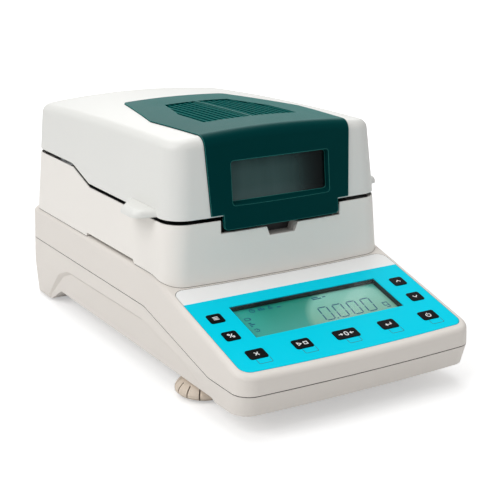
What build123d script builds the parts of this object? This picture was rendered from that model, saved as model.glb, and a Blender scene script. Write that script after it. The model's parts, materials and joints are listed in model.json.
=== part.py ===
from build123d import *
from math import asin, cos, degrees, pi, radians, sin, tan
import os

os.makedirs("parts", exist_ok=True)

# A halogen moisture analyzer: a wedge-shaped balance base with a sloping keypad, a chamber housing
# on top of it and a clam-shell lid that holds the ring lamp. Millimetres, +Z up, the front at -Y.
# The origin is under the middle of the base, on the surface that the feet stand on.

# Base case
base_length = 380.0
base_width = 205.0
front_bow = 3.0
base_corner = 14.0
case_wall = 2.8
case_edge_round = 4.0
base_bottom = 16.0
skirt_bottom = 3.0
skirt_front = 128.0
skirt_slope_run = 22.0
deck_top = 82.5
front_seam = 31.9
rear_seam = 54.5
seam_ramp_front = -142.0
seam_ramp_rear = -42.0
seam_round = 30.0
seam_gap = 0.6
seam_lip = 2.0
lip_wall = 1.2
lower_side_draft = 4.0
lower_front_draft = 14.8
upper_draft = 1.5
rear_draft = 1.0

# Sloping keypad panel
panel_tilt = 15.61
panel_setback = 7.17
panel_front_z = 46.78
panel_blend = 60.0

# Hollow along each side of the lower case
recess_depth = 3.2
recess_flank = 45.0
recess_rear = 152.0
recess_rear_low = 6.0
recess_front = -170.0
recess_round = 10.0
recess_roof = [(121.0, 32.0), (104.0, 38.5), (-36.0, 40.5), (-98.0, 29.7), (-150.0, 14.0)]

# Chamber housing
housing_side_step = 2.5
housing_front = -79.2
housing_rear_step = 3.0
housing_bow = 2.6
housing_corner = 18.0
housing_wall = 2.8
housing_side_draft = 4.9
housing_front_draft = 1.3
housing_foot_z = 75.5
joint_line = 0.3
rim_lip = 1.1
rim_rebate = 2.5

# Parting gap between the housing and the lid
gap_middle = 125.3
gap_height = 3.2
gap_step = 10.4
gap_step_front = 66.8
gap_step_rear = 101.2

# Lid
lid_corner = 18.0
lid_wall = 3.4
lid_skin = 1.8
lid_side_draft = 4.0
lid_front_draft = 5.75
lid_rear_draft = 2.5
crown_top = 189.4
crown_y = -54.0
crown_long_radius = 3200.0
crown_cross_radius = 750.0
crown_spread = 1.3
crown_block = 100.0
crown_depth = 30.0
lid_edge_round = 8.0

# Green lid cover with its window and grooves
cover_proud = 1.0
cover_thickness = 2.6
cover_gap = 0.25
cover_seat = 4.0
cover_front_half = 62.0
cover_top_half = 65.0
cover_bulge = 4.0
cover_bulge_y = 5.0
cover_rear_half = 48.0
cover_rear = 97.0
cover_corner = 5.0
cover_wrap_y = -61.0
tongue_corner = 3.0
tongue_half = 51.6
tongue_bottom = 116.1
tongue_gap = 2.4
window_half = 44.25
window_low = 135.5
window_high = 167.7
window_depth = 7.0
window_taper = 12.0
window_frame = 2.2
window_corner = 2.5
window_ledge = 2.8
window_rim = 0.8
glass_thickness = 2.0
groove_count = 8
groove_pitch = 5.1
groove_width = 3.0
groove_inner = 2.0
groove_front = -32.0
groove_rear = 58.0
groove_bed = 0.9
groove_depth = 0.9
groove_margin = 1.0
groove_drop = 2.0

# Lifting ears of the lid
ear_root_front = -55.0
ear_root_rear = -5.0
ear_length = 16.8
ear_thickness = 5.6
ear_edge_round = 5.0

# Heating chamber, pan and weighing cell
chamber_y = 13.0
well_radius = 66.0
well_floor = 88.0
liner_wall = 2.0
liner_top = 119.5
ledge_width = 5.0
ledge_height = 2.5
pan_radius = 45.0
pan_rim = 3.5
pan_depth = 7.0
pan_sheet = 0.6
pan_base = 100.2
shield_radius = 61.0
shield_height = 20.0
post_radius = 5.0
cell_length = 130.0
cell_width = 30.0
cell_height = 22.0

# Lid hinge
hinge_setback = 6.87
hinge_z = 142.5
pin_radius = 1.5
running_gap = 0.05
knuckle_radius = 3.2
knuckle_length = 24.0
hinge_ear = 3.0
hinge_spacing = 124.0

# Levelling feet
foot_inset = 20.5
foot_setback = 90.0
wheel_radius = 22.0
wheel_height = 11.6
wheel_lobes = 14
wheel_groove = 1.0
wheel_groove_length = 6.0
wheel_dish = 0.6
wheel_lift = 0.2
wheel_rim_low = 2.0
wheel_rim_high = 4.0
wheel_shoulder = 3.2
sole_round = 0.8
sole_radius = 15.0
sole_height = 2.4
stud_radius = 4.0
stud_top = 34.0

# Keypad, in the panel's own plane: u across, v up the slope, w out of the panel
film_margin = 5.8
film_length = 105.8
film_thickness = 0.8
film_gap = 0.4
film_corner = 8.0
window_u = 66.0
window_v_low = 36.7
window_v_high = 76.9
key_proud = 0.4
key_gap = 0.2
rest_gap = 0.1
key_travel = 0.5
key_height = 10.4
side_key_width = 11.8
side_key_height = 10.6
side_key_inset = 14.1
side_key_v_low = 44.2
side_key_v_high = 66.7
row_v = 19.45
row_pitch = 38.1
row_key_width = 14.8
middle_key_width = 20.2
key_corner = 1.8
key_flange = 1.0
board_depth = 10.4
board_thickness = 1.6
switch_height = 4.3
switch_body = 3.5
switch_side = 6.0
plunger_radius = 1.7

# Rear sockets
socket_recess = 4.0
inlet_x = -62.0
fuse_x = -36.0
rocker_x = -14.0
serial_x = 45.0
socket_z = 30.0

# Case details
bush_radius = 6.5
bush_height = 14.0
bush_collar = 2.0
screw_radius = 1.6
screw_head_radius = 3.2
screw_head_height = 2.2
screw_gap = 0.2
screw_seat = 5.0
screw_reach = 12.0
fit_gap = 0.25
pad_radius = 8.0
pad_inset = 22.5
pad_setback = 18.0
screw_inset = 17.5
housing_screw_x = 86.0
housing_screw_front = -36.0
housing_screw_rear = 152.0
lid_screw_x = 80.0
lid_screw_front = -52.0
lid_screw_rear = 150.0
screw_slot_length = 3.6
screw_slot_width = 0.8
screw_end_gap = 1.0
front_screw_y = -58.0
rear_screw_y = 112.0
pad_seat = 1.4
board_z = 26.0
board_post_radius = 3.0
boss_root = 0.5
vent_count = 7
vent_pitch = 7.0
vent_length = 46.0
vent_width = 2.6
deck_hole_radius = 30.0
wire_slot_y = 138.0
wire_slot_length = 60.0
wire_slot_width = 16.0

# Boards
main_board_x = 55.0
main_board_y = 8.0
power_board_x = -55.0
power_board_y = 20.0
circuit_width = 62.0
circuit_length = 104.0
board_post_inset = 4.0
display_board_half = 92.0
display_board_length = 90.0
display_board_corner = 3.0
display_boss_u = 88.0
display_boss_low = 12.0
display_boss_high = 92.0
relay_pitch = 18.0
relay_count = 3
relay_width = 12.0
relay_length = 8.0
relay_height = 7.0
relay_setback = 10.0
chip_side = 16.0
chip_height = 2.0
chip_setback = 32.0
transformer_setback = 24.0
core_width = 44.0
core_length = 36.0
winding_width = 30.0
winding_length = 50.0
winding_inset = 6.0
winding_round = 1.5

# Keypad rows and display
row_keys = 5
bezel_wall = 1.6
bezel_flange = 4.0
backlight_margin = 3.2
bezel_lip = 0.9
pane_sink = 0.1
lcd_top = 4.2
lcd_thickness = 2.2

# Sockets in the rear wall
inlet_width = 26.6
inlet_height = 19.6
inlet_depth = 22.0
fuse_radius = 6.2
rocker_body_width = 12.8
rocker_body_height = 18.8
serial_body_width = 19.2
serial_body_height = 10.4
flange_thickness = 2.0
inlet_rim = 2.0
inlet_wall = 1.5
inlet_corner = 3.0
inlet_cavity = 17.0
inlet_mouth = 4.6
contact_x = 7.0
contact_z = 2.0
contact_width = 2.0
contact_height = 4.0
tail_width = 4.8
tail_thickness = 0.8
tail_length = 7.0
fuse_rim = 1.6
fuse_cap = 1.0
fuse_slot = 1.2
fuse_slot_depth = 0.6
switch_rim = 1.5
switch_wall = 1.2
switch_depth = 18.0
rocker_well = 14.0
rocker_sink = 4.0
rocker_rise = 1.9
rocker_tilt = 12.0
rocker_end_gap = 2.0
rocker_keel = 3.0
rocker_keel_half = 2.5
rocker_shoulder = 1.0
serial_plate_width = 30.8
serial_plate_height = 12.5
serial_plate_corner = 1.5
serial_plate_thickness = 1.0
serial_shell_half = 8.4
serial_shell_low_half = 7.2
serial_shell_half_height = 4.1
serial_reach = 2.0
serial_depth = 11.0
serial_post_spacing = 25.0
serial_post_radius = 2.6
inlet_bay_centre = 23.0
inlet_bay_width = 80.0
inlet_bay_height = 30.0
serial_bay_width = 38.0
serial_bay_height = 20.0
bay_corner = 2.0
skin_margin = 1.5

# Front notches of the housing
finger_top_half = 14.5
finger_low_half = 11.5
finger_low = 106.8
finger_depth = 10.5
finger_wall = 2.2
side_slot_front = -19.0
side_slot_rear = 67.0
side_slot_height = 3.0

# Clearances and small pieces of the chamber
body_gap = 0.2
post_gap = 3.0
support_arms = 3
lifter_radius = 51.0
lifter_thickness = 1.5
lifter_tab_width = 22.0
lifter_tab_height = 13.0
lifter_clearance = 1.0
lifter_root = 0.4
transformer_height = 34.0
liner_setback = 12.2
buffer_radius = 4.0
buffer_x = 68.0
buffer_y = -60.0
shield_rim = 4.0
shield_inset = 1.0
draft_lip = 3.0
support_hub = 1.5
support_hub_height = 4.0
support_plate = 2.0
support_arm_width = 4.0
support_foot_radius = 3.0
support_foot_inset = 6.0
support_arm_inset = 3.0

# Weighing cell, its base and its arm
cell_base_height = 8.0
cell_base_length = 40.0
cell_base_side = 5.0
cell_base_corner = 4.0
cell_bore_radius = 8.0
cell_bore_spread = 24.0
cell_slot_height = 5.0
arm_gap = 3.0
arm_thickness = 5.0
arm_foot_length = 28.0
arm_foot_inset = 2.0
arm_corner = 4.0
arm_nose = 13.0

# Pieces inside the lid
lid_liner_z = 137.5
lid_liner_top = 140.0
lid_liner_side = 5.2
lid_liner_setback = 10.6
lid_liner_tail = 15.9
lid_liner_corner = 12.0
glass_ledge = 4.0
glass_radius = 60.0
lamp_ring_radius = 48.0
lamp_tube_radius = 4.0
lamp_open = 36.0
lamp_lift = 9.0
lamp_foot = 8.0
reflector_flange = 6.0
reflector_seat = 3.0
reflector_sheet = 1.0
reflector_knee_inset = 4.0
reflector_knee_rise = 12.0
reflector_crown_radius = 44.0
reflector_crown_rise = 21.0
reflector_hole = 8.0
reflector_cut = 0.5
reflector_offset = 0.4
reflector_foot = 1.2
sensor_collar = 4.0
sensor_point = 1.0
holder_y = 68.0
holder_width = 36.0
holder_length = 34.0
holder_height = 14.0
holder_corner = 2.0
sensor_x = 34.0
sensor_y = -50.0
sensor_radius = 1.5
sensor_tip = 126.0
boss_radius = 4.5
ear_root_inset = 2.2
ear_tip_front = -50.0
ear_tip_rear = -27.0
ear_corner = 9.0
fork_gap = 0.3
bracket_front = 160.0
bracket_plate = 2.0
leaf_front = 150.0
leaf_thickness = 1.6
leaf_end = 1.0
bracket_toe = 8.0
bracket_neck = 2.0
knuckle_room = 1.0
notch_rise = 5.5
groove_outer = 42.5
groove_corner_x = 30.0
groove_corner_y = 8.6
spigot_height = 3.5
spigot_radius = 3.0
stud_root = 3.0

half_length = base_length / 2
half_width = base_width / 2
far = 2 * base_length
beyond = 1.0
nearby = 0.01

# Places that follow from the driving dimensions
panel_front_y = panel_setback - half_length
film_half_width = half_width - film_margin
side_key_u = film_half_width - side_key_inset
foot_x = half_width - foot_inset
foot_y = foot_setback - half_length
pad_x = half_width - pad_inset
pad_y = half_length - pad_setback
screw_x = half_width - screw_inset
housing_half_width = half_width - housing_side_step
housing_rear = half_length - housing_rear_step
housing_rise = gap_middle - housing_foot_z
lid_half_width = housing_half_width - housing_rise * tan(radians(housing_side_draft))
lid_front = housing_front + housing_rise * tan(radians(housing_front_draft))
lid_rear = housing_rear - housing_rise * tan(radians(housing_front_draft))
hinge_y = lid_rear - hinge_setback
ear_root = lid_half_width - ear_root_inset
ear_reach = lid_half_width + ear_length
liner_front = housing_front + liner_setback
lid_liner_half = lid_half_width - lid_liner_side
lid_liner_front = lid_front + lid_liner_setback
lid_liner_rear = lid_rear - lid_liner_tail


def bowed_plan(half_span, front, rear, bow, corner):
    """Plan outline with straight sides and rear and a front that bows out by bow at its middle."""
    with BuildSketch() as plan:
        with BuildLine():
            ThreePointArc((-half_span, front + bow), (0, front), (half_span, front + bow))
            Polyline(
                (half_span, front + bow),
                (half_span, rear),
                (-half_span, rear),
                (-half_span, front + bow),
            )
        make_face()
        fillet(plan.vertices(), corner)
    return plan.sketch


def lofted(low_plan, low_z, high_plan, high_z):
    """Solid between two plan outlines at two heights."""
    with BuildPart() as form:
        with BuildSketch(Plane.XY.offset(low_z)):
            add(low_plan)
        with BuildSketch(Plane.XY.offset(high_z)):
            add(high_plan)
        loft(ruled=True)
    return form.part


def side_prism(points, rounded=(), radius=1.0):
    """Prism across the whole width, from a polygon of (y, z) points, some of them rounded."""
    with BuildPart() as prism:
        with BuildSketch(Plane.YZ.offset(-far)) as side:
            with BuildLine():
                Polyline(*points, close=True)
            make_face()
            corners = [v for v in side.vertices() if any(abs(v.X - y) < nearby for y in rounded)]
            if corners:
                fillet(corners, radius)
        extrude(amount=2 * far)
    return prism.part


def panel_height(y, inset):
    """Height of the sloping panel's plane at y, drawn inset below the skin."""
    slope = tan(radians(panel_tilt))
    return panel_front_z + slope * (y - panel_front_y) - inset / cos(radians(panel_tilt))


def above_top(inset):
    """Everything over the base's top skin: the sloping panel, then the level deck."""
    deck = deck_top - inset
    slope = tan(radians(panel_tilt))
    bend = (deck - panel_height(0, inset)) / slope
    front = (-far, panel_height(-far, inset))
    points = [front, (bend, deck), (far, deck), (far, far), (-far, far)]
    return side_prism(points, rounded=(bend,), radius=panel_blend)


def below_seam(rise):
    """Everything under the parting line of the two case halves, moved up by rise."""
    points = [
        (-far, -far),
        (-far, front_seam + rise),
        (seam_ramp_front, front_seam + rise),
        (seam_ramp_rear, rear_seam + rise),
        (far, rear_seam + rise),
        (far, -far),
    ]
    return side_prism(points, rounded=(seam_ramp_front, seam_ramp_rear), radius=seam_round)


def side_recess(inset):
    """The hollow along both sides of the lower case, with sloping flanks."""
    below = -base_bottom
    ends = [(recess_front, below), (recess_rear, below), (recess_rear, recess_rear_low)]
    outline = ends + recess_roof
    wall = half_width - recess_depth - inset
    with BuildPart() as hollow:
        with BuildSketch(Plane.YZ.offset(wall)) as side:
            with BuildLine():
                Polyline(*outline, close=True)
            make_face()
            bends = side.vertices().sort_by(Axis.Y)[-4:]
            fillet(bends, recess_round)
            offset(amount=inset)
        extrude(amount=recess_depth + 2 * case_wall, taper=-recess_flank)
        mirror(about=Plane.YZ)
    return hollow.part


def base_form(inset, edge_round=0.0):
    """The whole base as one solid, drawn inset inside its skin."""
    drop = front_seam - skirt_bottom
    rise = deck_top + case_wall - front_seam
    lower = bowed_plan(
        half_width - drop * tan(radians(lower_side_draft)) - inset,
        -half_length + drop * tan(radians(lower_front_draft)) + inset,
        half_length - drop * tan(radians(rear_draft)) - inset,
        front_bow,
        base_corner - inset,
    )
    middle = bowed_plan(
        half_width - inset, -half_length + inset, half_length - inset, front_bow, base_corner - inset
    )
    upper = bowed_plan(
        half_width - rise * tan(radians(upper_draft)) - inset,
        -half_length + rise * tan(radians(upper_draft)) + inset,
        half_length - rise * tan(radians(rear_draft)) - inset,
        front_bow,
        base_corner - inset,
    )
    under = [
        (-far, -far),
        (-far, base_bottom + inset),
        (skirt_front, base_bottom + inset),
        (skirt_front + skirt_slope_run, skirt_bottom + inset),
        (far, skirt_bottom + inset),
        (far, -far),
    ]
    lower_half = lofted(lower, skirt_bottom, middle, front_seam)
    upper_half = lofted(middle, front_seam, upper, front_seam + rise)
    cover = above_top(inset)
    below = side_prism(under)
    hollow = side_recess(inset)
    with BuildPart() as form:
        add(lower_half)
        add(upper_half)
        add(cover, mode=Mode.SUBTRACT)
        add(below, mode=Mode.SUBTRACT)
        add(hollow, mode=Mode.SUBTRACT)
        if edge_round:
            top = form.faces().filter_by(lambda face: face.normal_at().Z > 0.9)
            inside = [edge for face in top for edge in face.edges()]
            rim = [edge for edge in inside if inside.count(edge) == 1]
            fillet(rim, edge_round)
    return form.part


def housing_form(inset):
    """The chamber housing as one solid, drawn inset inside its skin."""
    rise = gap_middle + gap_step - housing_foot_z
    lower = bowed_plan(
        housing_half_width - inset,
        housing_front + inset,
        housing_rear - inset,
        housing_bow,
        housing_corner - inset,
    )
    upper = bowed_plan(
        housing_half_width - rise * tan(radians(housing_side_draft)) - inset,
        housing_front + rise * tan(radians(housing_front_draft)) + inset,
        housing_rear - rise * tan(radians(housing_front_draft)) - inset,
        housing_bow,
        housing_corner - inset,
    )
    return lofted(lower, housing_foot_z, upper, housing_foot_z + rise)


def gap_region(height, upwards):
    """Everything above, or below, the stepped parting gap's surface at the given height."""
    end = far if upwards else -far
    points = [
        (-far, height),
        (gap_step_front, height),
        (gap_step_rear, height + gap_step),
        (far, height + gap_step),
        (far, end),
        (-far, end),
    ]
    return side_prism(points)


def lid_plan(z, grow):
    """Plan outline of the lid at height z, grown outwards."""
    up = z - gap_middle - gap_height / 2
    return bowed_plan(
        lid_half_width - up * tan(radians(lid_side_draft)) + grow,
        lid_front + up * tan(radians(lid_front_draft)) - grow,
        lid_rear - up * tan(radians(lid_rear_draft)) + grow,
        housing_bow,
        lid_corner + grow,
    )


def crown(grow):
    """Solid under the lid's top skin, an arc across the lid turned about a far cross axis."""
    reach = crown_spread * lid_half_width
    sag = crown_cross_radius - (crown_cross_radius**2 - reach**2) ** 0.5
    lead = degrees(asin(crown_spread * abs(lid_front - crown_y) / crown_long_radius))
    sweep_angle = lead + degrees(asin(crown_spread * (lid_rear - crown_y) / crown_long_radius))
    centre = (0, crown_y, crown_top - crown_long_radius)
    start = Plane(
        origin=centre, x_dir=(1, 0, 0), z_dir=(0, -cos(radians(lead)), -sin(radians(lead)))
    )
    top = crown_long_radius + grow
    with BuildPart() as dome:
        with BuildSketch(start):
            with BuildLine():
                ThreePointArc((-reach, top - sag), (0, top), (reach, top - sag))
                Polyline(
                    (reach, top - sag),
                    (reach, top - crown_block),
                    (-reach, top - crown_block),
                    (-reach, top - sag),
                )
            make_face()
        revolve(axis=Axis(centre, (-1, 0, 0)), revolution_arc=sweep_angle)
    return dome.part


def lid_form(grow):
    """The whole lid as one solid, grown outwards, with its rounded upper edge."""
    low = tongue_bottom - 2 * tongue_corner
    high = crown_top + lid_edge_round
    sides = lofted(lid_plan(low, grow), low, lid_plan(high, grow), high)
    dome = crown(grow)
    with BuildPart() as form:
        add(sides)
        add(dome, mode=Mode.INTERSECT)
        top = form.faces().sort_by(Axis.Z)[-1]
        fillet(top.edges(), lid_edge_round + grow)
    return form.part


def cover_region(grow):
    """Where the green cover lies: up the front with its tongue, then over the top."""
    low = gap_middle + gap_height / 2 + beyond
    reach = -cover_wrap_y
    with BuildPart() as region:
        with BuildSketch(Plane.XZ.offset(reach - beyond)) as front:
            with BuildLine():
                Polyline(
                    (-tongue_half, tongue_bottom),
                    (tongue_half, tongue_bottom),
                    (tongue_half, low),
                    (cover_front_half, low),
                    (cover_top_half, crown_top),
                    (cover_top_half, far),
                    (-cover_top_half, far),
                    (-cover_top_half, crown_top),
                    (-cover_front_half, low),
                    (-tongue_half, low),
                    close=True,
                )
            make_face()
            fillet(front.vertices().sort_by(Axis.Y)[:2], tongue_corner)
            offset(amount=grow, kind=Kind.INTERSECTION)
        extrude(amount=reach)
        with BuildSketch(Plane.XY.offset(crown_low)) as top:
            with BuildLine():
                Polyline(
                    (-cover_top_half, cover_wrap_y),
                    (cover_top_half, cover_wrap_y),
                    (cover_top_half + cover_bulge, cover_bulge_y),
                    (cover_rear_half, cover_rear),
                    (-cover_rear_half, cover_rear),
                    (-cover_top_half - cover_bulge, cover_bulge_y),
                    close=True,
                )
            make_face()
            fillet(top.vertices().sort_by(Axis.Y)[-4:], cover_corner)
            offset(amount=grow, kind=Kind.INTERSECTION)
        extrude(amount=2 * crown_depth)
    return region.part


def finish(piece, name):
    """Labels a finished piece and writes it to its own file."""
    piece.part.label = name
    export_step(piece.part, f"parts/{name}.step")


def turned(points, x=0.0, y=0.0):
    """Solid turned about an upright axis at (x, y), from a polygon of (radius, z) points."""
    with BuildPart() as body:
        with BuildSketch(Plane(origin=(x, y, 0), x_dir=(1, 0, 0), z_dir=(0, -1, 0))):
            with BuildLine():
                Polyline(*points, close=True)
            make_face()
        revolve(axis=Axis((x, y, 0), (0, 0, 1)))
    return body.part


def slab(low_z, high_z):
    """Everything between two heights."""
    with BuildPart() as layer:
        with BuildSketch(Plane.XY.offset(low_z)):
            Rectangle(2 * far, 2 * far)
        extrude(amount=high_z - low_z)
    return layer.part


# Shared forms and the values that come from the driving dimensions
outer_base = base_form(0, case_edge_round)
inner_base = base_form(case_wall)
lip_base = base_form(case_wall - lip_wall)
seam_cut_low = below_seam(-seam_gap / 2)
seam_cut_high = below_seam(seam_gap / 2)
lip_top = below_seam(seam_lip)
lip_room_top = below_seam(seam_lip + seam_gap)
lip_root = below_seam(-2 * seam_lip)

tilt = radians(panel_tilt)
panel = Plane(
    origin=(0, panel_front_y, panel_front_z), x_dir=(1, 0, 0), z_dir=(0, -sin(tilt), cos(tilt))
)
floor_top = base_bottom + case_wall
recess_face = half_length - socket_recess
wall_back = recess_face - case_wall
deck_under = deck_top - case_wall
liner_under = liner_top - ledge_height
crown_low = crown_top - crown_depth
rim_z = gap_middle - gap_height / 2
lid_rim_z = gap_middle + gap_height / 2

# Case screws come up through posts of the lower case into bosses of the upper case
screw_places = [(x, y) for x in (-screw_x, screw_x) for y in (front_screw_y, rear_screw_y)]
foot_places = [(-foot_x, foot_y), (foot_x, foot_y)]
pad_places = [(-pad_x, pad_y), (pad_x, pad_y)]

notch_half = tongue_half + tongue_gap
notch_low = tongue_bottom - tongue_gap
housing_screw_places = [
    (x, y) for x in (-housing_screw_x, housing_screw_x) for y in (housing_screw_front, housing_screw_rear)
]
lid_screw_places = [(x, y) for x in (-lid_screw_x, lid_screw_x) for y in (lid_screw_front, lid_screw_rear)]
buffer_places = [(-buffer_x, buffer_y), (buffer_x, buffer_y)]


def corner_places(x, y, width, length):
    """Four places just inside the corners of a board."""
    across = width / 2 - board_post_inset
    along = length / 2 - board_post_inset
    return [(x + side * across, y + end * along) for side in (-1, 1) for end in (-1, 1)]


main_board_posts = corner_places(main_board_x, main_board_y, circuit_width, circuit_length)
power_board_posts = corner_places(power_board_x, power_board_y, circuit_width, circuit_length)
socket_bays = [
    (inlet_x + inlet_bay_centre, inlet_bay_width, inlet_bay_height),
    (serial_x, serial_bay_width, serial_bay_height),
]
board_v = (display_boss_low + display_boss_high) / 2
board_bosses = [
    (u, v) for u in (-display_boss_u, display_boss_u) for v in (display_boss_low, display_boss_high)
]

# Keys by name: middle u, middle v, width, height
keys = {
    "key_left_upper": (-side_key_u, side_key_v_high, side_key_width, side_key_height),
    "key_left_lower": (-side_key_u, side_key_v_low, side_key_width, side_key_height),
    "key_right_upper": (side_key_u, side_key_v_high, side_key_width, side_key_height),
    "key_right_lower": (side_key_u, side_key_v_low, side_key_width, side_key_height),
}
for place in range(row_keys):
    width = middle_key_width if place == row_keys // 2 else row_key_width
    keys[f"key_row_{place + 1}"] = ((place - row_keys // 2) * row_pitch, row_v, width, key_height)
key_centres = [(u, v) for u, v, width, height in keys.values()]
window_v = (window_v_low + window_v_high) / 2
window_height = window_v_high - window_v_low


def key_shapes(grow):
    """Rounded outlines of all the keys, grown outwards, in the panel's own plane."""
    with BuildSketch() as shapes:
        for u, v, width, height in keys.values():
            with Locations((u, v)):
                RectangleRounded(width + 2 * grow, height + 2 * grow, key_corner + grow)
    return shapes.sketch


def film_shape(grow):
    """Outline of the keypad film, its lower and upper edges bowed as the case is."""
    low_bow = front_bow * (film_half_width / half_width) ** 2
    high_bow = housing_bow * (film_half_width / half_width) ** 2
    with BuildSketch() as film:
        with BuildLine():
            low = ThreePointArc((-film_half_width, low_bow), (0, 0), (film_half_width, low_bow))
            high = ThreePointArc(
                (-film_half_width, film_length + high_bow),
                (0, film_length),
                (film_half_width, film_length + high_bow),
            )
            Line(low @ 0, high @ 0)
            Line(low @ 1, high @ 1)
        make_face()
        fillet(film.vertices(), film_corner)
        if grow:
            offset(amount=grow)
    return film.sketch


# Lower case
with BuildPart() as lip_band:
    add(lip_base)
    add(inner_base, mode=Mode.SUBTRACT)
    add(lip_top, mode=Mode.INTERSECT)
    add(lip_root, mode=Mode.SUBTRACT)

with BuildPart() as lower_case:
    add(outer_base)
    add(inner_base, mode=Mode.SUBTRACT)
    add(seam_cut_low, mode=Mode.INTERSECT)
    add(lip_band.part)
    with BuildSketch(Plane.XY.offset(base_bottom)):
        with Locations(*screw_places, *foot_places):
            Circle(bush_radius + case_wall)
    extrude(amount=bush_height)
    with BuildSketch(Plane.XY.offset(base_bottom - beyond)):
        with Locations(*foot_places):
            Circle(bush_radius)
    extrude(amount=bush_height + 2 * beyond, mode=Mode.SUBTRACT)
    with BuildSketch(Plane.XY.offset(base_bottom - beyond)):
        with Locations(*screw_places):
            Circle(screw_head_radius + screw_gap)
    extrude(amount=screw_seat + beyond, mode=Mode.SUBTRACT)
    with BuildSketch(Plane.XY.offset(base_bottom)):
        with Locations(*screw_places):
            Circle(screw_radius + screw_gap)
    extrude(amount=bush_height + beyond, mode=Mode.SUBTRACT)
    with BuildSketch(Plane.XY.offset(skirt_bottom - beyond)):
        with Locations(*pad_places):
            Circle(pad_radius + screw_gap)
    extrude(amount=pad_seat + beyond, mode=Mode.SUBTRACT)
    with BuildSketch(Plane.XZ.offset(-wall_back)):
        for x, width, height in socket_bays:
            with Locations((x, socket_z)):
                Rectangle(width + 2 * case_wall, height + 2 * case_wall)
    extrude(amount=-(socket_recess + case_wall - skin_margin))
    with BuildSketch(Plane.XZ.offset(-recess_face)):
        for x, width, height in socket_bays:
            with Locations((x, socket_z)):
                RectangleRounded(width, height, bay_corner)
    extrude(amount=-2 * socket_recess, mode=Mode.SUBTRACT)
    with BuildSketch(Plane.XZ.offset(-wall_back + beyond)):
        with Locations((inlet_x, socket_z)):
            Rectangle(inlet_width + 2 * fit_gap, inlet_height + 2 * fit_gap)
        with Locations((rocker_x, socket_z)):
            Rectangle(rocker_body_width + 2 * fit_gap, rocker_body_height + 2 * fit_gap)
        with Locations((fuse_x, socket_z)):
            Circle(fuse_radius + fit_gap)
        with Locations((serial_x, socket_z)):
            Rectangle(serial_body_width + 2 * fit_gap, serial_body_height + 2 * fit_gap)
    extrude(amount=-(case_wall + 2 * beyond), mode=Mode.SUBTRACT)
    with BuildSketch(Plane.XY.offset(base_bottom)):
        with Locations(*main_board_posts, *power_board_posts):
            Circle(board_post_radius)
    extrude(amount=board_z - base_bottom)
    with BuildSketch(Plane.XY.offset(base_bottom - beyond)):
        with Locations((power_board_x, power_board_y)):
            with GridLocations(0, vent_pitch, 1, vent_count):
                SlotOverall(vent_length, vent_width)
    extrude(amount=case_wall + 2 * beyond, mode=Mode.SUBTRACT)
finish(lower_case, "lower_case")

# Upper case, its wall cut back inside the parting line to take the lip
with BuildPart() as lip_recess:
    add(base_form(case_wall - lip_wall - seam_gap / 2))
    add(lip_room_top, mode=Mode.INTERSECT)

with BuildPart() as upper_case:
    add(outer_base)
    add(inner_base, mode=Mode.SUBTRACT)
    add(seam_cut_high, mode=Mode.SUBTRACT)
    add(lip_recess.part, mode=Mode.SUBTRACT)
    with BuildSketch(panel.offset(-film_thickness)):
        add(film_shape(film_gap))
    extrude(amount=2 * film_thickness, mode=Mode.SUBTRACT)
    with BuildSketch(panel.offset(-film_thickness + rest_gap)):
        add(key_shapes(key_gap))
        with Locations((0, window_v)):
            Rectangle(2 * (window_u + bezel_wall + key_gap), window_height + 2 * (bezel_wall + key_gap))
    extrude(amount=-2 * case_wall, mode=Mode.SUBTRACT)
    with BuildSketch(panel.offset(-board_depth)):
        with Locations(*board_bosses):
            Circle(board_post_radius)
    extrude(amount=board_depth - case_wall + boss_root)
    with BuildSketch(Plane.XY.offset(base_bottom + bush_height + seam_gap)):
        with Locations(*screw_places):
            Circle(bush_radius)
    extrude(until=Until.NEXT)
    with BuildSketch(Plane.XY.offset(base_bottom + bush_height)):
        with Locations(*screw_places):
            Circle(screw_radius)
    extrude(amount=screw_reach, mode=Mode.SUBTRACT)
    with BuildSketch(Plane.XY.offset(deck_under - beyond)):
        with Locations((0, chamber_y)):
            Circle(deck_hole_radius)
        with Locations((0, wire_slot_y)):
            SlotOverall(wire_slot_length, wire_slot_width)
        with Locations(*housing_screw_places):
            Circle(screw_radius + screw_gap)
    extrude(amount=2 * case_wall, mode=Mode.SUBTRACT)
finish(upper_case, "upper_case")

# Chamber housing: open ring of moulded walls with a ledge inside and two notches in its front
housing_inner = housing_form(housing_wall)
with BuildPart() as ledge:
    add(housing_inner)
    add(housing_form(housing_wall + ledge_width), mode=Mode.SUBTRACT)
    add(slab(liner_under - ledge_height, liner_under), mode=Mode.INTERSECT)

with BuildPart() as rebate:
    add(housing_form(rim_lip))
    add(gap_region(rim_z - rim_rebate, True), mode=Mode.INTERSECT)

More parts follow.
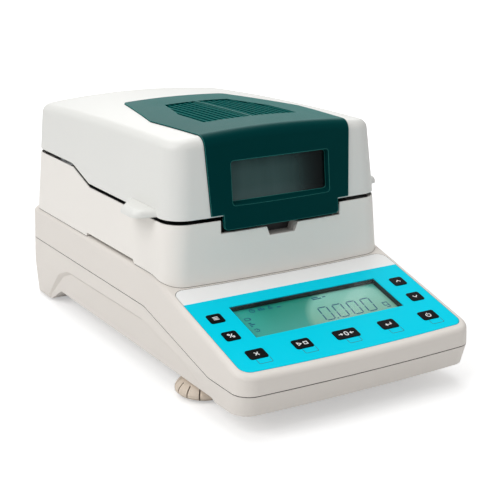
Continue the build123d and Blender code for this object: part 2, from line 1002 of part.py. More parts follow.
with BuildPart() as chamber_housing:
    add(housing_form(0))
    add(housing_inner, mode=Mode.SUBTRACT)
    add(gap_region(rim_z, True), mode=Mode.SUBTRACT)
    add(rebate.part, mode=Mode.SUBTRACT)
    add(above_top(-joint_line), mode=Mode.INTERSECT)
    add(ledge.part)
    with BuildSketch(Plane.XY.offset(deck_top)):
        with Locations(*housing_screw_places):
            Circle(bush_radius)
    extrude(amount=liner_under - deck_top)
    with BuildSketch(Plane.XY.offset(deck_top)):
        with Locations(*housing_screw_places):
            Circle(screw_radius)
    extrude(amount=screw_reach, mode=Mode.SUBTRACT)
    with BuildSketch(Plane.XZ.offset(-housing_front - housing_wall / 2)):
        with Locations((0, (finger_low + notch_low) / 2 - finger_wall / 2)):
            Rectangle(2 * (finger_top_half + finger_wall), notch_low - finger_low + finger_wall)
    extrude(amount=-finger_depth)
    with BuildSketch(Plane.XZ.offset(-housing_front + housing_bow)):
        with BuildLine():
            Polyline(
                (-finger_low_half, finger_low),
                (finger_low_half, finger_low),
                (finger_top_half, notch_low + beyond),
                (-finger_top_half, notch_low + beyond),
                close=True,
            )
        make_face()
        with BuildLine():
            Polyline(
                (-notch_half, notch_low),
                (notch_half, notch_low),
                (notch_half, deck_top + far),
                (-notch_half, deck_top + far),
                close=True,
            )
        make_face()
    extrude(amount=-(finger_depth + 2 * housing_bow), mode=Mode.SUBTRACT)
    with BuildSketch(Plane.YZ.offset(-far)):
        with BuildLine():
            Polyline(
                (side_slot_front - side_slot_height, deck_top),
                (side_slot_front, deck_top + side_slot_height),
                (side_slot_rear, deck_top + side_slot_height),
                (side_slot_rear, deck_top),
                close=True,
            )
        make_face()
    extrude(amount=2 * far, mode=Mode.SUBTRACT)
finish(chamber_housing, "chamber_housing")

# Chamber liner: dark deck on the housing's ledge, with the round heating well hanging from it
with BuildPart() as chamber_liner:
    add(housing_form(housing_wall + 2 * fit_gap))
    add(slab(liner_under, liner_top), mode=Mode.INTERSECT)
    with BuildSketch(Plane.XY.offset(liner_under - beyond)):
        with Locations((0, liner_front - far / 2)):
            Rectangle(2 * (notch_half + fit_gap), far)
    extrude(amount=far, mode=Mode.SUBTRACT)
    with BuildSketch(Plane.XY.offset(finger_low - finger_wall)):
        with Locations((0, liner_front + liner_wall / 2)):
            Rectangle(2 * (notch_half + fit_gap), liner_wall)
    extrude(amount=liner_top - finger_low + finger_wall)
    with BuildSketch(Plane.XY.offset(well_floor)):
        with Locations((0, chamber_y)):
            Circle(well_radius + liner_wall)
    extrude(amount=liner_top - well_floor)
    with BuildSketch(Plane.XY.offset(well_floor + liner_wall)):
        with Locations((0, chamber_y)):
            Circle(well_radius)
    extrude(amount=far, mode=Mode.SUBTRACT)
    with BuildSketch(Plane.XY.offset(well_floor - beyond)):
        with Locations((0, chamber_y)):
            Circle(post_radius + post_gap)
    extrude(amount=far, mode=Mode.SUBTRACT)
finish(chamber_liner, "chamber_liner")

# Stainless heat shield on the well's floor, with a turned-up rim
shield_z = well_floor + liner_wall
with BuildPart() as heat_shield:
    add(
        turned(
            [
                (post_radius + post_gap, shield_z),
                (well_radius - shield_inset, shield_z),
                (well_radius - shield_inset, shield_z + shield_rim),
                (well_radius - shield_inset - pan_sheet, shield_z + shield_rim),
                (well_radius - shield_inset - pan_sheet, shield_z + pan_sheet),
                (post_radius + post_gap, shield_z + pan_sheet),
            ],
            y=chamber_y,
        )
    )
finish(heat_shield, "heat_shield")

# Draft shield ring standing on the heat shield
with BuildPart() as draft_shield:
    with BuildSketch(Plane.XY.offset(shield_z + pan_sheet)):
        with Locations((0, chamber_y)):
            Circle(shield_radius)
            Circle(shield_radius - 2 * pan_sheet, mode=Mode.SUBTRACT)
    extrude(amount=shield_height)
    with BuildSketch(Plane.XY.offset(shield_z + shield_height)):
        with Locations((0, chamber_y)):
            Circle(shield_radius)
            Circle(shield_radius - draft_lip, mode=Mode.SUBTRACT)
    extrude(amount=pan_sheet)
finish(draft_shield, "draft_shield")

# Weighing cell on its base, the arm that carries the post, and the pan support on the post
cell_y = chamber_y
cell_z = floor_top + cell_base_height
arm_z = cell_z + cell_height + arm_gap
with BuildPart() as load_cell_base:
    with BuildSketch(Plane.XY.offset(floor_top)):
        with Locations((0, cell_y + cell_length / 2 - cell_base_length / 2)):
            RectangleRounded(cell_width + 2 * cell_base_side, cell_base_length, cell_base_corner)
    extrude(amount=cell_base_height)
finish(load_cell_base, "load_cell_base")

with BuildPart() as load_cell:
    with BuildSketch(Plane.YZ.offset(-cell_width / 2)):
        with Locations((cell_y, cell_z + cell_height / 2)):
            Rectangle(cell_length, cell_height)
            with Locations((-cell_bore_spread / 2, 0), (cell_bore_spread / 2, 0)):
                Circle(cell_bore_radius, mode=Mode.SUBTRACT)
            Rectangle(cell_bore_spread, cell_slot_height, mode=Mode.SUBTRACT)
    extrude(amount=cell_width)
finish(load_cell, "load_cell")

support_z = pan_base - body_gap - support_plate
with BuildPart() as load_arm:
    with BuildSketch(Plane.XY.offset(cell_z + cell_height)):
        with Locations((0, cell_y - cell_length / 2 + arm_foot_inset + arm_foot_length / 2)):
            Rectangle(cell_width, arm_foot_length)
    extrude(amount=arm_gap)
    with BuildSketch(Plane.XY.offset(arm_z)):
        with Locations((0, cell_y + arm_nose / 2 - cell_length / 4)):
            RectangleRounded(cell_width, cell_length / 2 + arm_nose, arm_corner)
    extrude(amount=arm_thickness)
    with BuildSketch(Plane.XY.offset(arm_z)):
        with Locations((0, chamber_y)):
            Circle(post_radius)
    extrude(amount=support_z - support_hub_height - arm_z)
finish(load_arm, "load_arm")

with BuildPart() as pan_support:
    with BuildSketch(Plane.XY.offset(support_z - support_hub_height)):
        with Locations((0, chamber_y)):
            Circle(post_radius + support_hub)
    extrude(amount=support_hub_height)
    with BuildSketch(Plane.XY.offset(support_z - support_plate)):
        with Locations((0, chamber_y)):
            with PolarLocations(0, support_arms, start_angle=90):
                with Locations(((pan_radius - support_arm_inset) / 2, 0)):
                    SlotOverall(pan_radius - support_arm_inset, support_arm_width)
    extrude(amount=support_plate)
    with BuildSketch(Plane.XY.offset(support_z - support_plate)):
        with Locations((0, chamber_y)):
            with PolarLocations(pan_radius - support_foot_inset, support_arms, start_angle=90):
                Circle(support_foot_radius)
    extrude(amount=2 * support_plate)
finish(pan_support, "pan_support")

# Sample pan and the ring that lifts it
rim_top = pan_base + pan_depth
with BuildPart() as sample_pan:
    add(
        turned(
            [
                (0, pan_base),
                (pan_radius, pan_base),
                (pan_radius, rim_top - pan_sheet),
                (pan_radius + pan_rim, rim_top - pan_sheet),
                (pan_radius + pan_rim, rim_top),
                (pan_radius - pan_sheet, rim_top),
                (pan_radius - pan_sheet, pan_base + pan_sheet),
                (0, pan_base + pan_sheet),
            ],
            y=chamber_y,
        )
    )
finish(sample_pan, "sample_pan")

lifter_z = rim_top - pan_sheet - lifter_thickness
with BuildPart() as pan_lifter:
    with BuildSketch(Plane.XY.offset(lifter_z)):
        with Locations((0, chamber_y)):
            Circle(lifter_radius)
            Circle(pan_radius + lifter_clearance, mode=Mode.SUBTRACT)
    extrude(amount=lifter_thickness)
    with BuildSketch(Plane.XY.offset(lifter_z)):
        with Locations((0, chamber_y - lifter_radius - lifter_thickness / 2 + lifter_root)):
            Rectangle(lifter_tab_width, lifter_thickness)
    extrude(amount=lifter_tab_height)
finish(pan_lifter, "pan_lifter")

# Boards, transformer
for name, x, y, posts in (
    ("main_board", main_board_x, main_board_y, main_board_posts),
    ("power_board", power_board_x, power_board_y, power_board_posts),
):
    with BuildPart() as board:
        with BuildSketch(Plane.XY.offset(board_z)):
            with Locations((x, y)):
                Rectangle(circuit_width, circuit_length)
        extrude(amount=board_thickness)
        with BuildSketch(Plane.XY.offset(board_z + board_thickness)):
            with Locations((x, y - circuit_length / 2 + relay_setback)):
                with GridLocations(relay_pitch, 0, relay_count, 1):
                    Rectangle(relay_width, relay_length)
        extrude(amount=relay_height)
        with BuildSketch(Plane.XY.offset(board_z + board_thickness)):
            with Locations((x, y - circuit_length / 2 + chip_setback)):
                Rectangle(chip_side, chip_side)
        extrude(amount=chip_height)
    finish(board, name)

with BuildPart() as transformer:
    with BuildSketch(Plane.XY.offset(board_z + board_thickness)):
        with Locations((power_board_x, power_board_y + transformer_setback)):
            Rectangle(core_width, core_length)
    extrude(amount=transformer_height)
    with BuildSketch(Plane.XY.offset(board_z + board_thickness + winding_inset)):
        with Locations((power_board_x, power_board_y + transformer_setback)):
            Rectangle(winding_width, winding_length)
            Rectangle(winding_width, core_length, mode=Mode.SUBTRACT)
    extrude(amount=transformer_height - 2 * winding_inset)
    fillet(transformer.edges().filter_by(Axis.Z), winding_round)
finish(transformer, "transformer")

# Keypad film, display and keys
with BuildPart() as overlay_film:
    with BuildSketch(panel.offset(-film_thickness)):
        add(film_shape(0))
        add(key_shapes(key_gap), mode=Mode.SUBTRACT)
        with Locations((0, window_v)):
            Rectangle(2 * window_u, window_height, mode=Mode.SUBTRACT)
    extrude(amount=film_thickness)
finish(overlay_film, "overlay_film")

with BuildPart() as display_bezel:
    with BuildSketch(panel.offset(-film_thickness)):
        with Locations((0, window_v)):
            Rectangle(2 * (window_u + bezel_wall), window_height + 2 * bezel_wall)
            Rectangle(2 * (window_u - bezel_lip), window_height - 2 * bezel_lip, mode=Mode.SUBTRACT)
    extrude(amount=-(lcd_top - film_thickness))
    with BuildSketch(panel.offset(-case_wall - fit_gap)):
        with Locations((0, window_v)):
            Rectangle(2 * (window_u + bezel_flange), window_height + 2 * bezel_flange)
            Rectangle(2 * (window_u - bezel_lip), window_height - 2 * bezel_lip, mode=Mode.SUBTRACT)
    extrude(amount=-(lcd_top - case_wall - fit_gap))
finish(display_bezel, "display_bezel")

with BuildPart() as display_window:
    with BuildSketch(panel.offset(-film_thickness)):
        with Locations((0, window_v)):
            Rectangle(2 * (window_u - key_gap), window_height - 2 * key_gap)
    extrude(amount=film_thickness - pane_sink)
finish(display_window, "display_window")

with BuildPart() as lcd_glass:
    with BuildSketch(panel.offset(-lcd_top - lcd_thickness)):
        with Locations((0, window_v)):
            Rectangle(2 * (window_u + bezel_wall), window_height + 2 * bezel_wall)
    extrude(amount=lcd_thickness)
finish(lcd_glass, "lcd_glass")

with BuildPart() as lcd_backlight:
    with BuildSketch(panel.offset(-board_depth)):
        with Locations((0, window_v)):
            Rectangle(2 * (window_u + bezel_wall), window_height + 2 * backlight_margin)
    extrude(amount=board_depth - lcd_top - lcd_thickness)
finish(lcd_backlight, "lcd_backlight")

with BuildPart() as display_board:
    with BuildSketch(panel.offset(-board_depth - board_thickness)):
        with Locations((0, board_v)):
            RectangleRounded(2 * display_board_half, display_board_length, display_board_corner)
    extrude(amount=board_thickness)
finish(display_board, "display_board")

with BuildPart() as key_switches:
    with BuildSketch(panel.offset(-board_depth)):
        with Locations(*key_centres):
            Rectangle(switch_side, switch_side)
    extrude(amount=switch_body)
    with BuildSketch(panel.offset(-board_depth)):
        with Locations(*key_centres):
            Circle(plunger_radius)
    extrude(amount=switch_height)
finish(key_switches, "key_switches")

stem_end = board_depth - switch_height - key_travel - rest_gap
for name, (u, v, width, height) in keys.items():
    with BuildPart() as key:
        with BuildSketch(panel.offset(-case_wall - rest_gap)):
            with Locations((u, v)):
                RectangleRounded(width, height, key_corner)
        extrude(amount=case_wall + rest_gap + key_proud)
        with BuildSketch(panel.offset(-case_wall - rest_gap - key_flange)):
            with Locations((u, v)):
                RectangleRounded(width + 2 * key_flange, height + 2 * key_flange, key_corner)
        extrude(amount=key_flange)
        with BuildSketch(panel.offset(-stem_end)):
            with Locations((u, v)):
                Circle(plunger_radius)
        extrude(amount=stem_end - case_wall)
    finish(key, name)

# Rear sockets
contact_places = [(-contact_x, -contact_z), (contact_x, -contact_z), (0, contact_z)]
with BuildPart() as mains_inlet:
    with BuildSketch(Plane.XZ.offset(-recess_face)):
        with Locations((inlet_x, socket_z)):
            RectangleRounded(inlet_width + 2 * inlet_rim, inlet_height + 2 * inlet_rim, inlet_rim)
    extrude(amount=-flange_thickness)
    with BuildSketch(Plane.XZ.offset(-recess_face)):
        with Locations((inlet_x, socket_z)):
            Rectangle(inlet_width, inlet_height)
    extrude(amount=inlet_depth)
    with BuildSketch(Plane.XZ.offset(-recess_face - flange_thickness)):
        with Locations((inlet_x, socket_z)):
            RectangleRounded(inlet_width - 2 * inlet_wall, inlet_height - 2 * inlet_wall, inlet_corner)
    extrude(amount=inlet_cavity, mode=Mode.SUBTRACT)
    with BuildSketch(Plane.XZ.offset(-recess_face - flange_thickness + inlet_cavity)):
        with Locations((inlet_x, socket_z)):
            with Locations(*contact_places):
                Rectangle(contact_width, contact_height)
    extrude(amount=-(inlet_cavity - inlet_mouth))
    with BuildSketch(Plane.XZ.offset(-recess_face + inlet_depth)):
        with Locations((inlet_x, socket_z)):
            with Locations(*contact_places):
                Rectangle(tail_thickness, tail_width)
    extrude(amount=tail_length)
finish(mains_inlet, "mains_inlet")

with BuildPart() as fuse_holder:
    with BuildSketch(Plane.XZ.offset(-recess_face)):
        with Locations((fuse_x, socket_z)):
            Circle(fuse_radius + fuse_rim)
    extrude(amount=-flange_thickness)
    with BuildSketch(Plane.XZ.offset(-recess_face)):
        with Locations((fuse_x, socket_z)):
            Circle(fuse_radius)
    extrude(amount=inlet_depth)
    with BuildSketch(Plane.XZ.offset(-recess_face - flange_thickness)):
        with Locations((fuse_x, socket_z)):
            Circle(fuse_radius - fuse_cap)
    extrude(amount=-fuse_cap)
    with BuildSketch(Plane.XZ.offset(-recess_face - flange_thickness - fuse_cap)):
        with Locations((fuse_x, socket_z)):
            Rectangle(2 * (fuse_radius - 2 * fuse_cap), fuse_slot)
    extrude(amount=fuse_slot_depth, mode=Mode.SUBTRACT)
finish(fuse_holder, "fuse_holder")

with BuildPart() as switch_frame:
    with BuildSketch(Plane.XZ.offset(-recess_face)):
        with Locations((rocker_x, socket_z)):
            RectangleRounded(
                rocker_body_width + 2 * switch_rim, rocker_body_height + 2 * switch_rim, switch_rim
            )
    extrude(amount=-flange_thickness)
    with BuildSketch(Plane.XZ.offset(-recess_face)):
        with Locations((rocker_x, socket_z)):
            Rectangle(rocker_body_width, rocker_body_height)
    extrude(amount=switch_depth)
    with BuildSketch(Plane.XZ.offset(-recess_face - flange_thickness)):
        with Locations((rocker_x, socket_z)):
            Rectangle(rocker_body_width - 2 * switch_wall, rocker_body_height - 2 * switch_wall)
    extrude(amount=rocker_well, mode=Mode.SUBTRACT)
finish(switch_frame, "switch_frame")

rocker_pivot_y = recess_face + flange_thickness - rocker_sink
rocker_half = rocker_body_height / 2 - rocker_end_gap
rocker_turn = radians(rocker_tilt)
rocker_plane = Plane(
    origin=(rocker_x - rocker_body_width / 2 + switch_wall + fit_gap, rocker_pivot_y, socket_z),
    x_dir=(0, cos(rocker_turn), sin(rocker_turn)),
    z_dir=(1, 0, 0),
)
with BuildPart() as power_rocker:
    with BuildSketch(rocker_plane):
        with BuildLine():
            Polyline(
                (rocker_rise, 0),
                (rocker_rise + rocker_half * tan(rocker_turn), rocker_half),
                (-rocker_shoulder, rocker_half - rocker_shoulder),
                (-rocker_keel, rocker_keel_half),
                (-rocker_keel, -rocker_keel_half),
                (-rocker_shoulder, rocker_shoulder - rocker_half),
                (rocker_rise + rocker_half * tan(rocker_turn), -rocker_half),
                close=True,
            )
        make_face()
    extrude(amount=rocker_body_width - 2 * switch_wall - 2 * fit_gap)
finish(power_rocker, "power_rocker")

with BuildPart() as serial_port:
    with BuildSketch(Plane.XZ.offset(-recess_face)):
        with Locations((serial_x, socket_z)):
            RectangleRounded(serial_plate_width, serial_plate_height, serial_plate_corner)
    extrude(amount=-serial_plate_thickness)
    with BuildSketch(Plane.XZ.offset(-recess_face)):
        with Locations((serial_x, socket_z)):
            Rectangle(serial_body_width, serial_body_height)
    extrude(amount=serial_depth)
    with BuildSketch(Plane.XZ.offset(-recess_face - serial_plate_thickness)):
        with BuildLine():
            Polyline(
                (serial_x - serial_shell_half, socket_z + serial_shell_half_height),
                (serial_x + serial_shell_half, socket_z + serial_shell_half_height),
                (serial_x + serial_shell_low_half, socket_z - serial_shell_half_height),
                (serial_x - serial_shell_low_half, socket_z - serial_shell_half_height),
                close=True,
            )
        make_face()
    extrude(amount=-serial_reach)
    with BuildSketch(Plane.XZ.offset(-recess_face - serial_plate_thickness)):
        with Locations((serial_x, socket_z)):
            with GridLocations(serial_post_spacing, 0, 2, 1):
                RegularPolygon(serial_post_radius, 6)
    extrude(amount=-serial_reach)
finish(serial_port, "serial_port")

# Feet
with BuildPart() as foot_bushes:
    with BuildSketch(Plane.XY.offset(base_bottom)):
        with Locations(*foot_places):
            Circle(bush_radius)
            Circle(stud_radius + running_gap, mode=Mode.SUBTRACT)
    extrude(amount=bush_height + bush_collar)
finish(foot_bushes, "foot_bushes")

for side, (x, y) in zip(("left", "right"), foot_places):
    with BuildPart() as foot_sole:
        with BuildSketch(Plane.XY):
            with Locations((x, y)):
                Circle(sole_radius)
        extrude(amount=sole_height)
        fillet(foot_sole.edges().group_by(Axis.Z)[0], sole_round)
        with BuildSketch(Plane.XY.offset(sole_height)):
            with Locations((x, y)):
                Circle(spigot_radius)
        extrude(amount=spigot_height)
    finish(foot_sole, f"{side}_foot_sole")

    wheel_z = sole_height + wheel_lift
    crown_z = wheel_z + wheel_height
    with BuildPart() as foot_wheel:
        with BuildSketch(Plane(origin=(x, y, 0), x_dir=(1, 0, 0), z_dir=(0, -1, 0))):
            with BuildLine():
                Polyline(
                    (0, crown_z - wheel_dish),
                    (0, wheel_z),
                    (wheel_radius - wheel_rim_low, wheel_z),
                    (wheel_radius, wheel_z + wheel_rim_low),
                    (wheel_radius, wheel_z + wheel_rim_high),
                )
                ThreePointArc(
                    (wheel_radius, wheel_z + wheel_rim_high),
                    (wheel_radius - wheel_shoulder, wheel_z + wheel_height - wheel_shoulder),
                    (wheel_radius / 2, crown_z),
                )
                Line((wheel_radius / 2, crown_z), (0, crown_z - wheel_dish))
            make_face()
        revolve(axis=Axis((x, y, 0), (0, 0, 1)))
        with BuildSketch(Plane.XY.offset(wheel_z - beyond)):
            with Locations((x, y)):
                with PolarLocations(wheel_radius - wheel_groove_length / 3, wheel_lobes):
                    Rectangle(wheel_groove_length, wheel_groove)
        extrude(amount=wheel_height + 2 * beyond, mode=Mode.SUBTRACT)
        with BuildSketch(Plane.XY.offset(wheel_z + stud_root)):
            with Locations((x, y)):
                Circle(stud_radius)
        extrude(amount=stud_top - wheel_z - stud_root)
        with BuildSketch(Plane.XY.offset(wheel_z - beyond)):
            with Locations((x, y)):
                Circle(spigot_radius + running_gap)
        extrude(amount=spigot_height + 2 * beyond, mode=Mode.SUBTRACT)
    finish(foot_wheel, f"{side}_foot_wheel")

with BuildPart() as rear_pads:
    with BuildSketch(Plane.XY):
        with Locations(*pad_places):
            Circle(pad_radius)
    extrude(amount=skirt_bottom + pad_seat)
    fillet(rear_pads.edges().group_by(Axis.Z)[0], sole_round)
finish(rear_pads, "rear_pads")

# Screws
with BuildPart() as case_screws:
    with BuildSketch(Plane.XY.offset(base_bottom + screw_seat - screw_head_height)):
        with Locations(*screw_places):
            Circle(screw_head_radius)
            Rectangle(screw_slot_length, screw_slot_width, mode=Mode.SUBTRACT)
    extrude(amount=screw_head_height)
    with BuildSketch(Plane.XY.offset(base_bottom + screw_seat - beyond)):
        with Locations(*screw_places):
            Circle(screw_radius)
    extrude(amount=bush_height - screw_seat + screw_reach + beyond - screw_end_gap)
finish(case_screws, "case_screws")

with BuildPart() as housing_screws:
    with BuildSketch(Plane.XY.offset(deck_under - screw_head_height)):
        with Locations(*housing_screw_places):
            Circle(screw_head_radius)
    extrude(amount=screw_head_height)
    with BuildSketch(Plane.XY.offset(deck_under)):
        with Locations(*housing_screw_places):
            Circle(screw_radius)
    extrude(amount=case_wall + screw_reach - screw_end_gap)
finish(housing_screws, "housing_screws")

# Rubber buffers on the deck, which the closed lid rests on
with BuildPart() as lid_buffers:
    with BuildSketch(Plane.XY.offset(liner_top)):
        with Locations(*buffer_places):
            Circle(buffer_radius)
    extrude(amount=lid_liner_z - body_gap - liner_top)
finish(lid_buffers, "lid_buffers")

# Hinge: two forked brackets on the deck, each with a pin through a knuckle of the lid's leaf
fork_inner = knuckle_length / 2 + fork_gap
fork_outer = fork_inner + hinge_ear
hinge_places = (-hinge_spacing / 2, hinge_spacing / 2)
with BuildPart() as hinge_brackets:
    with BuildSketch(Plane.XY.offset(liner_top)):
        for x in hinge_places:
            with Locations((x, (bracket_front + hinge_y + knuckle_radius) / 2)):
                Rectangle(2 * fork_outer, hinge_y + knuckle_radius - bracket_front)
    extrude(amount=bracket_plate)
    for x in hinge_places:
        for low_x in (x - fork_outer, x + fork_inner):
            with BuildSketch(Plane.YZ.offset(low_x)) as ear:
                with BuildLine():
                    Polyline(
                        (bracket_front, liner_top),
                        (hinge_y + knuckle_radius, liner_top),
                        (hinge_y + knuckle_radius, hinge_z),
                        (hinge_y - knuckle_radius, hinge_z),
                        (hinge_y - knuckle_radius - bracket_neck, liner_top + bracket_toe),
                        (bracket_front, liner_top + bracket_plate),
                        close=True,
                    )
                make_face()
                with Locations((hinge_y, hinge_z)):
                    Circle(knuckle_radius)
                    Circle(pin_radius, mode=Mode.SUBTRACT)
            extrude(amount=hinge_ear)
finish(hinge_brackets, "hinge_brackets")

with BuildPart() as hinge_pins:
    for x in hinge_places:
        with BuildSketch(Plane.YZ.offset(x - fork_outer)):
            with Locations((hinge_y, hinge_z)):
                Circle(pin_radius)
        extrude(amount=2 * fork_outer)
finish(hinge_pins, "hinge_pins")

with BuildPart() as lid_hinge_leaves:
    for x in hinge_places:
        with BuildSketch(Plane.YZ.offset(x - knuckle_length / 2)):
            with BuildLine():
                Polyline(
                    (leaf_front, lid_liner_top),
                    (hinge_y - leaf_end, lid_liner_top),
                    (hinge_y - leaf_end, lid_liner_top + leaf_thickness),
                    (leaf_front, lid_liner_top + leaf_thickness),
                    close=True,
                )
            make_face()
            with Locations((hinge_y, hinge_z)):
                Circle(knuckle_radius)
                Circle(pin_radius + running_gap, mode=Mode.SUBTRACT)
        extrude(amount=knuckle_length)
finish(lid_hinge_leaves, "lid_hinge_leaves")

# Lid
outer_lid = lid_form(0)
seat_lid = lid_form(-lid_skin)
with BuildPart() as cover_pocket:
    add(cover_region(cover_gap))
    add(seat_lid, mode=Mode.SUBTRACT)

with BuildPart() as lid_bosses:
    with BuildSketch(Plane.XY.offset(lid_liner_top)):
        with Locations(*lid_screw_places):
            Circle(boss_radius)
    extrude(amount=crown_top - lid_liner_top)
    add(seat_lid, mode=Mode.INTERSECT)

with BuildPart() as lid_ears:
    with BuildSketch(Plane.XY.offset(lid_rim_z)) as tab:
        with BuildLine():
            Polyline(
                (ear_root, ear_root_front),
                (ear_reach, ear_tip_front),
                (ear_reach, ear_tip_rear),
                (ear_root, ear_root_rear),
                close=True,
            )
        make_face()
        fillet(tab.vertices().sort_by(Axis.X)[-2:], ear_corner)
    extrude(amount=ear_thickness)
    fillet(lid_ears.faces().sort_by(Axis.Z)[-1].edges().sort_by(Axis.X)[1:], ear_edge_round)
    mirror(about=Plane.YZ)

with BuildPart() as lid_shell:
    add(outer_lid)
    add(lid_form(-lid_wall), mode=Mode.SUBTRACT)
    add(cover_region(-cover_seat), mode=Mode.SUBTRACT)
    add(cover_pocket.part, mode=Mode.SUBTRACT)
    add(lid_bosses.part)
    add(gap_region(lid_rim_z, False), mode=Mode.SUBTRACT)
    add(lid_ears.part)
    with BuildSketch(Plane.XY.offset(lid_liner_top - beyond)):
        with Locations(*lid_screw_places):
            Circle(screw_radius)
    extrude(amount=screw_reach, mode=Mode.SUBTRACT)
    with BuildSketch(Plane.XY.offset(gap_middle)):
        for x in hinge_places:
            with Locations((x, lid_rear)):
                Rectangle(2 * (fork_outer + knuckle_room), 4 * lid_wall)
    extrude(amount=hinge_z + notch_rise - gap_middle, mode=Mode.SUBTRACT)
finish(lid_shell, "lid_shell")

# Green cover over the lid's front and top, with the window frame and the ribbed fields
inner_cover = lid_form(cover_proud - cover_thickness)
groove_bottom = lid_form(cover_proud - groove_bed - groove_depth)
front_y = lid_front - cover_proud
window_middle = (window_low + window_high) / 2
front_turn = radians(lid_front_draft)
front_plane = Plane(
    origin=(0, front_y + (window_middle - lid_rim_z) * tan(front_turn), window_middle),
    x_dir=(1, 0, 0),
    z_dir=(0, -cos(front_turn), sin(front_turn)),
)
pane_height = (window_high - window_low) / cos(front_turn)
jamb_depth = window_depth - glass_thickness
jamb_slope = (jamb_depth + beyond) * tan(radians(window_taper))
with BuildPart() as window_opening:
    with BuildSketch(front_plane.offset(beyond)):
        with Locations((0, -window_ledge / 2)):
            RectangleRounded(2 * window_half, pane_height + window_ledge, window_corner)
    with BuildSketch(front_plane.offset(-jamb_depth)):
        RectangleRounded(2 * (window_half - jamb_slope), pane_height - 2 * jamb_slope, window_corner)
    loft(ruled=True)

with BuildPart() as fields:
    with BuildSketch(Plane.XY.offset(crown_low)) as right_field:
        with BuildLine():
            Polyline(
                (groove_inner - groove_margin, groove_front),
                (groove_outer, groove_front),
                (groove_outer, groove_corner_y),
                (groove_corner_x, groove_rear - groove_drop),
                (groove_inner - groove_margin, groove_rear),
                close=True,
            )
        make_face()
        mirror(about=Plane.YZ)
    extrude(amount=2 * crown_depth)

with BuildPart() as grooves:
    add(fields.part)
    with BuildSketch(Plane.XY.offset(crown_low - beyond)):
        for side in (-1, 1):
            for place in range(groove_count):
                with Locations((side * (groove_inner + groove_pitch * place + groove_width / 2), 0)):
                    Rectangle(groove_width, 4 * groove_rear)
    extrude(amount=2 * crown_depth + 2 * beyond, mode=Mode.INTERSECT)
    add(groove_bottom, mode=Mode.SUBTRACT)

with BuildPart() as field_beds:
    add(fields.part)
    add(lid_form(cover_proud - groove_bed), mode=Mode.SUBTRACT)

with BuildPart() as lid_cover:
    add(lid_form(cover_proud))
    add(inner_cover, mode=Mode.SUBTRACT)
    add(cover_region(0), mode=Mode.INTERSECT)
    with BuildSketch(front_plane.offset(-cover_thickness + window_rim)):
        RectangleRounded(2 * (window_half + window_frame), pane_height + 2 * window_frame, window_corner)
    extrude(amount=-(window_depth - cover_thickness + window_rim))
    add(window_opening.part, mode=Mode.SUBTRACT)
    with BuildSketch(front_plane.offset(-jamb_depth)):
        Rectangle(2 * (window_half + fit_gap), pane_height + 2 * fit_gap)
    extrude(amount=-2 * glass_thickness, mode=Mode.SUBTRACT)
    add(field_beds.part, mode=Mode.SUBTRACT)
    add(grooves.part, mode=Mode.SUBTRACT)
finish(lid_cover, "lid_cover")

with BuildPart() as window_glass:
    with BuildSketch(front_plane.offset(-window_depth)):
        Rectangle(2 * window_half, pane_height)
    extrude(amount=glass_thickness)
finish(window_glass, "window_glass")

# Lid liner, its glass, the lamp and the reflector
with BuildPart() as lid_liner:
    with BuildSketch(Plane.XY.offset(lid_liner_z)):
        with Locations((0, (lid_liner_front + lid_liner_rear) / 2)):
            RectangleRounded(2 * lid_liner_half, lid_liner_rear - lid_liner_front, lid_liner_corner)
        with Locations((0, chamber_y)):
            Circle(glass_radius - glass_ledge, mode=Mode.SUBTRACT)
        with Locations(*lid_screw_places):
            Circle(screw_radius + screw_gap, mode=Mode.SUBTRACT)
        with Locations((sensor_x, sensor_y)):
            Circle(sensor_radius + fit_gap, mode=Mode.SUBTRACT)
    extrude(amount=lid_liner_top - lid_liner_z)
    with BuildSketch(Plane.XY.offset(lid_liner_top - glass_thickness)):
        with Locations((0, chamber_y)):
            Circle(glass_radius + fit_gap)
    extrude(amount=2 * glass_thickness, mode=Mode.SUBTRACT)
finish(lid_liner, "lid_liner")

with BuildPart() as protective_glass:
    with BuildSketch(Plane.XY.offset(lid_liner_top - glass_thickness)):
        with Locations((0, chamber_y)):
            Circle(glass_radius)
    extrude(amount=glass_thickness)
finish(protective_glass, "protective_glass")

lamp_z = lid_liner_top + lamp_lift
with BuildPart() as lamp_ring:
    with BuildSketch(Plane.XZ.offset(-chamber_y)):
        with Locations((lamp_ring_radius, lamp_z)):
            Circle(lamp_tube_radius + fit_gap)
    revolve(axis=Axis((0, chamber_y, 0), (0, 0, 1)))

with BuildPart() as lamp_holders:
    with BuildSketch(Plane.XY.offset(lamp_z - holder_height / 2)):
        with Locations((0, holder_y)):
            RectangleRounded(holder_width, holder_length, holder_corner)
    extrude(amount=holder_height)
    with BuildSketch(Plane.XY.offset(lid_liner_top)):
        with Locations((0, holder_y + holder_length / 2 - lamp_foot / 2)):
            Rectangle(holder_width, lamp_foot)
    extrude(amount=lamp_z - lid_liner_top)
    add(lamp_ring.part, mode=Mode.SUBTRACT)
finish(lamp_holders, "lamp_holders")

lamp_start = Plane(
    origin=(0, chamber_y, 0),
    x_dir=(sin(radians(lamp_open / 2)), cos(radians(lamp_open / 2)), 0),
    z_dir=(cos(radians(lamp_open / 2)), -sin(radians(lamp_open / 2)), 0),
)
with BuildPart() as halogen_lamp:
    with BuildSketch(lamp_start):
        with Locations((lamp_ring_radius, lamp_z)):
            Circle(lamp_tube_radius)
    revolve(axis=Axis((0, chamber_y, 0), (0, 0, -1)), revolution_arc=360 - lamp_open)
finish(halogen_lamp, "halogen_lamp")

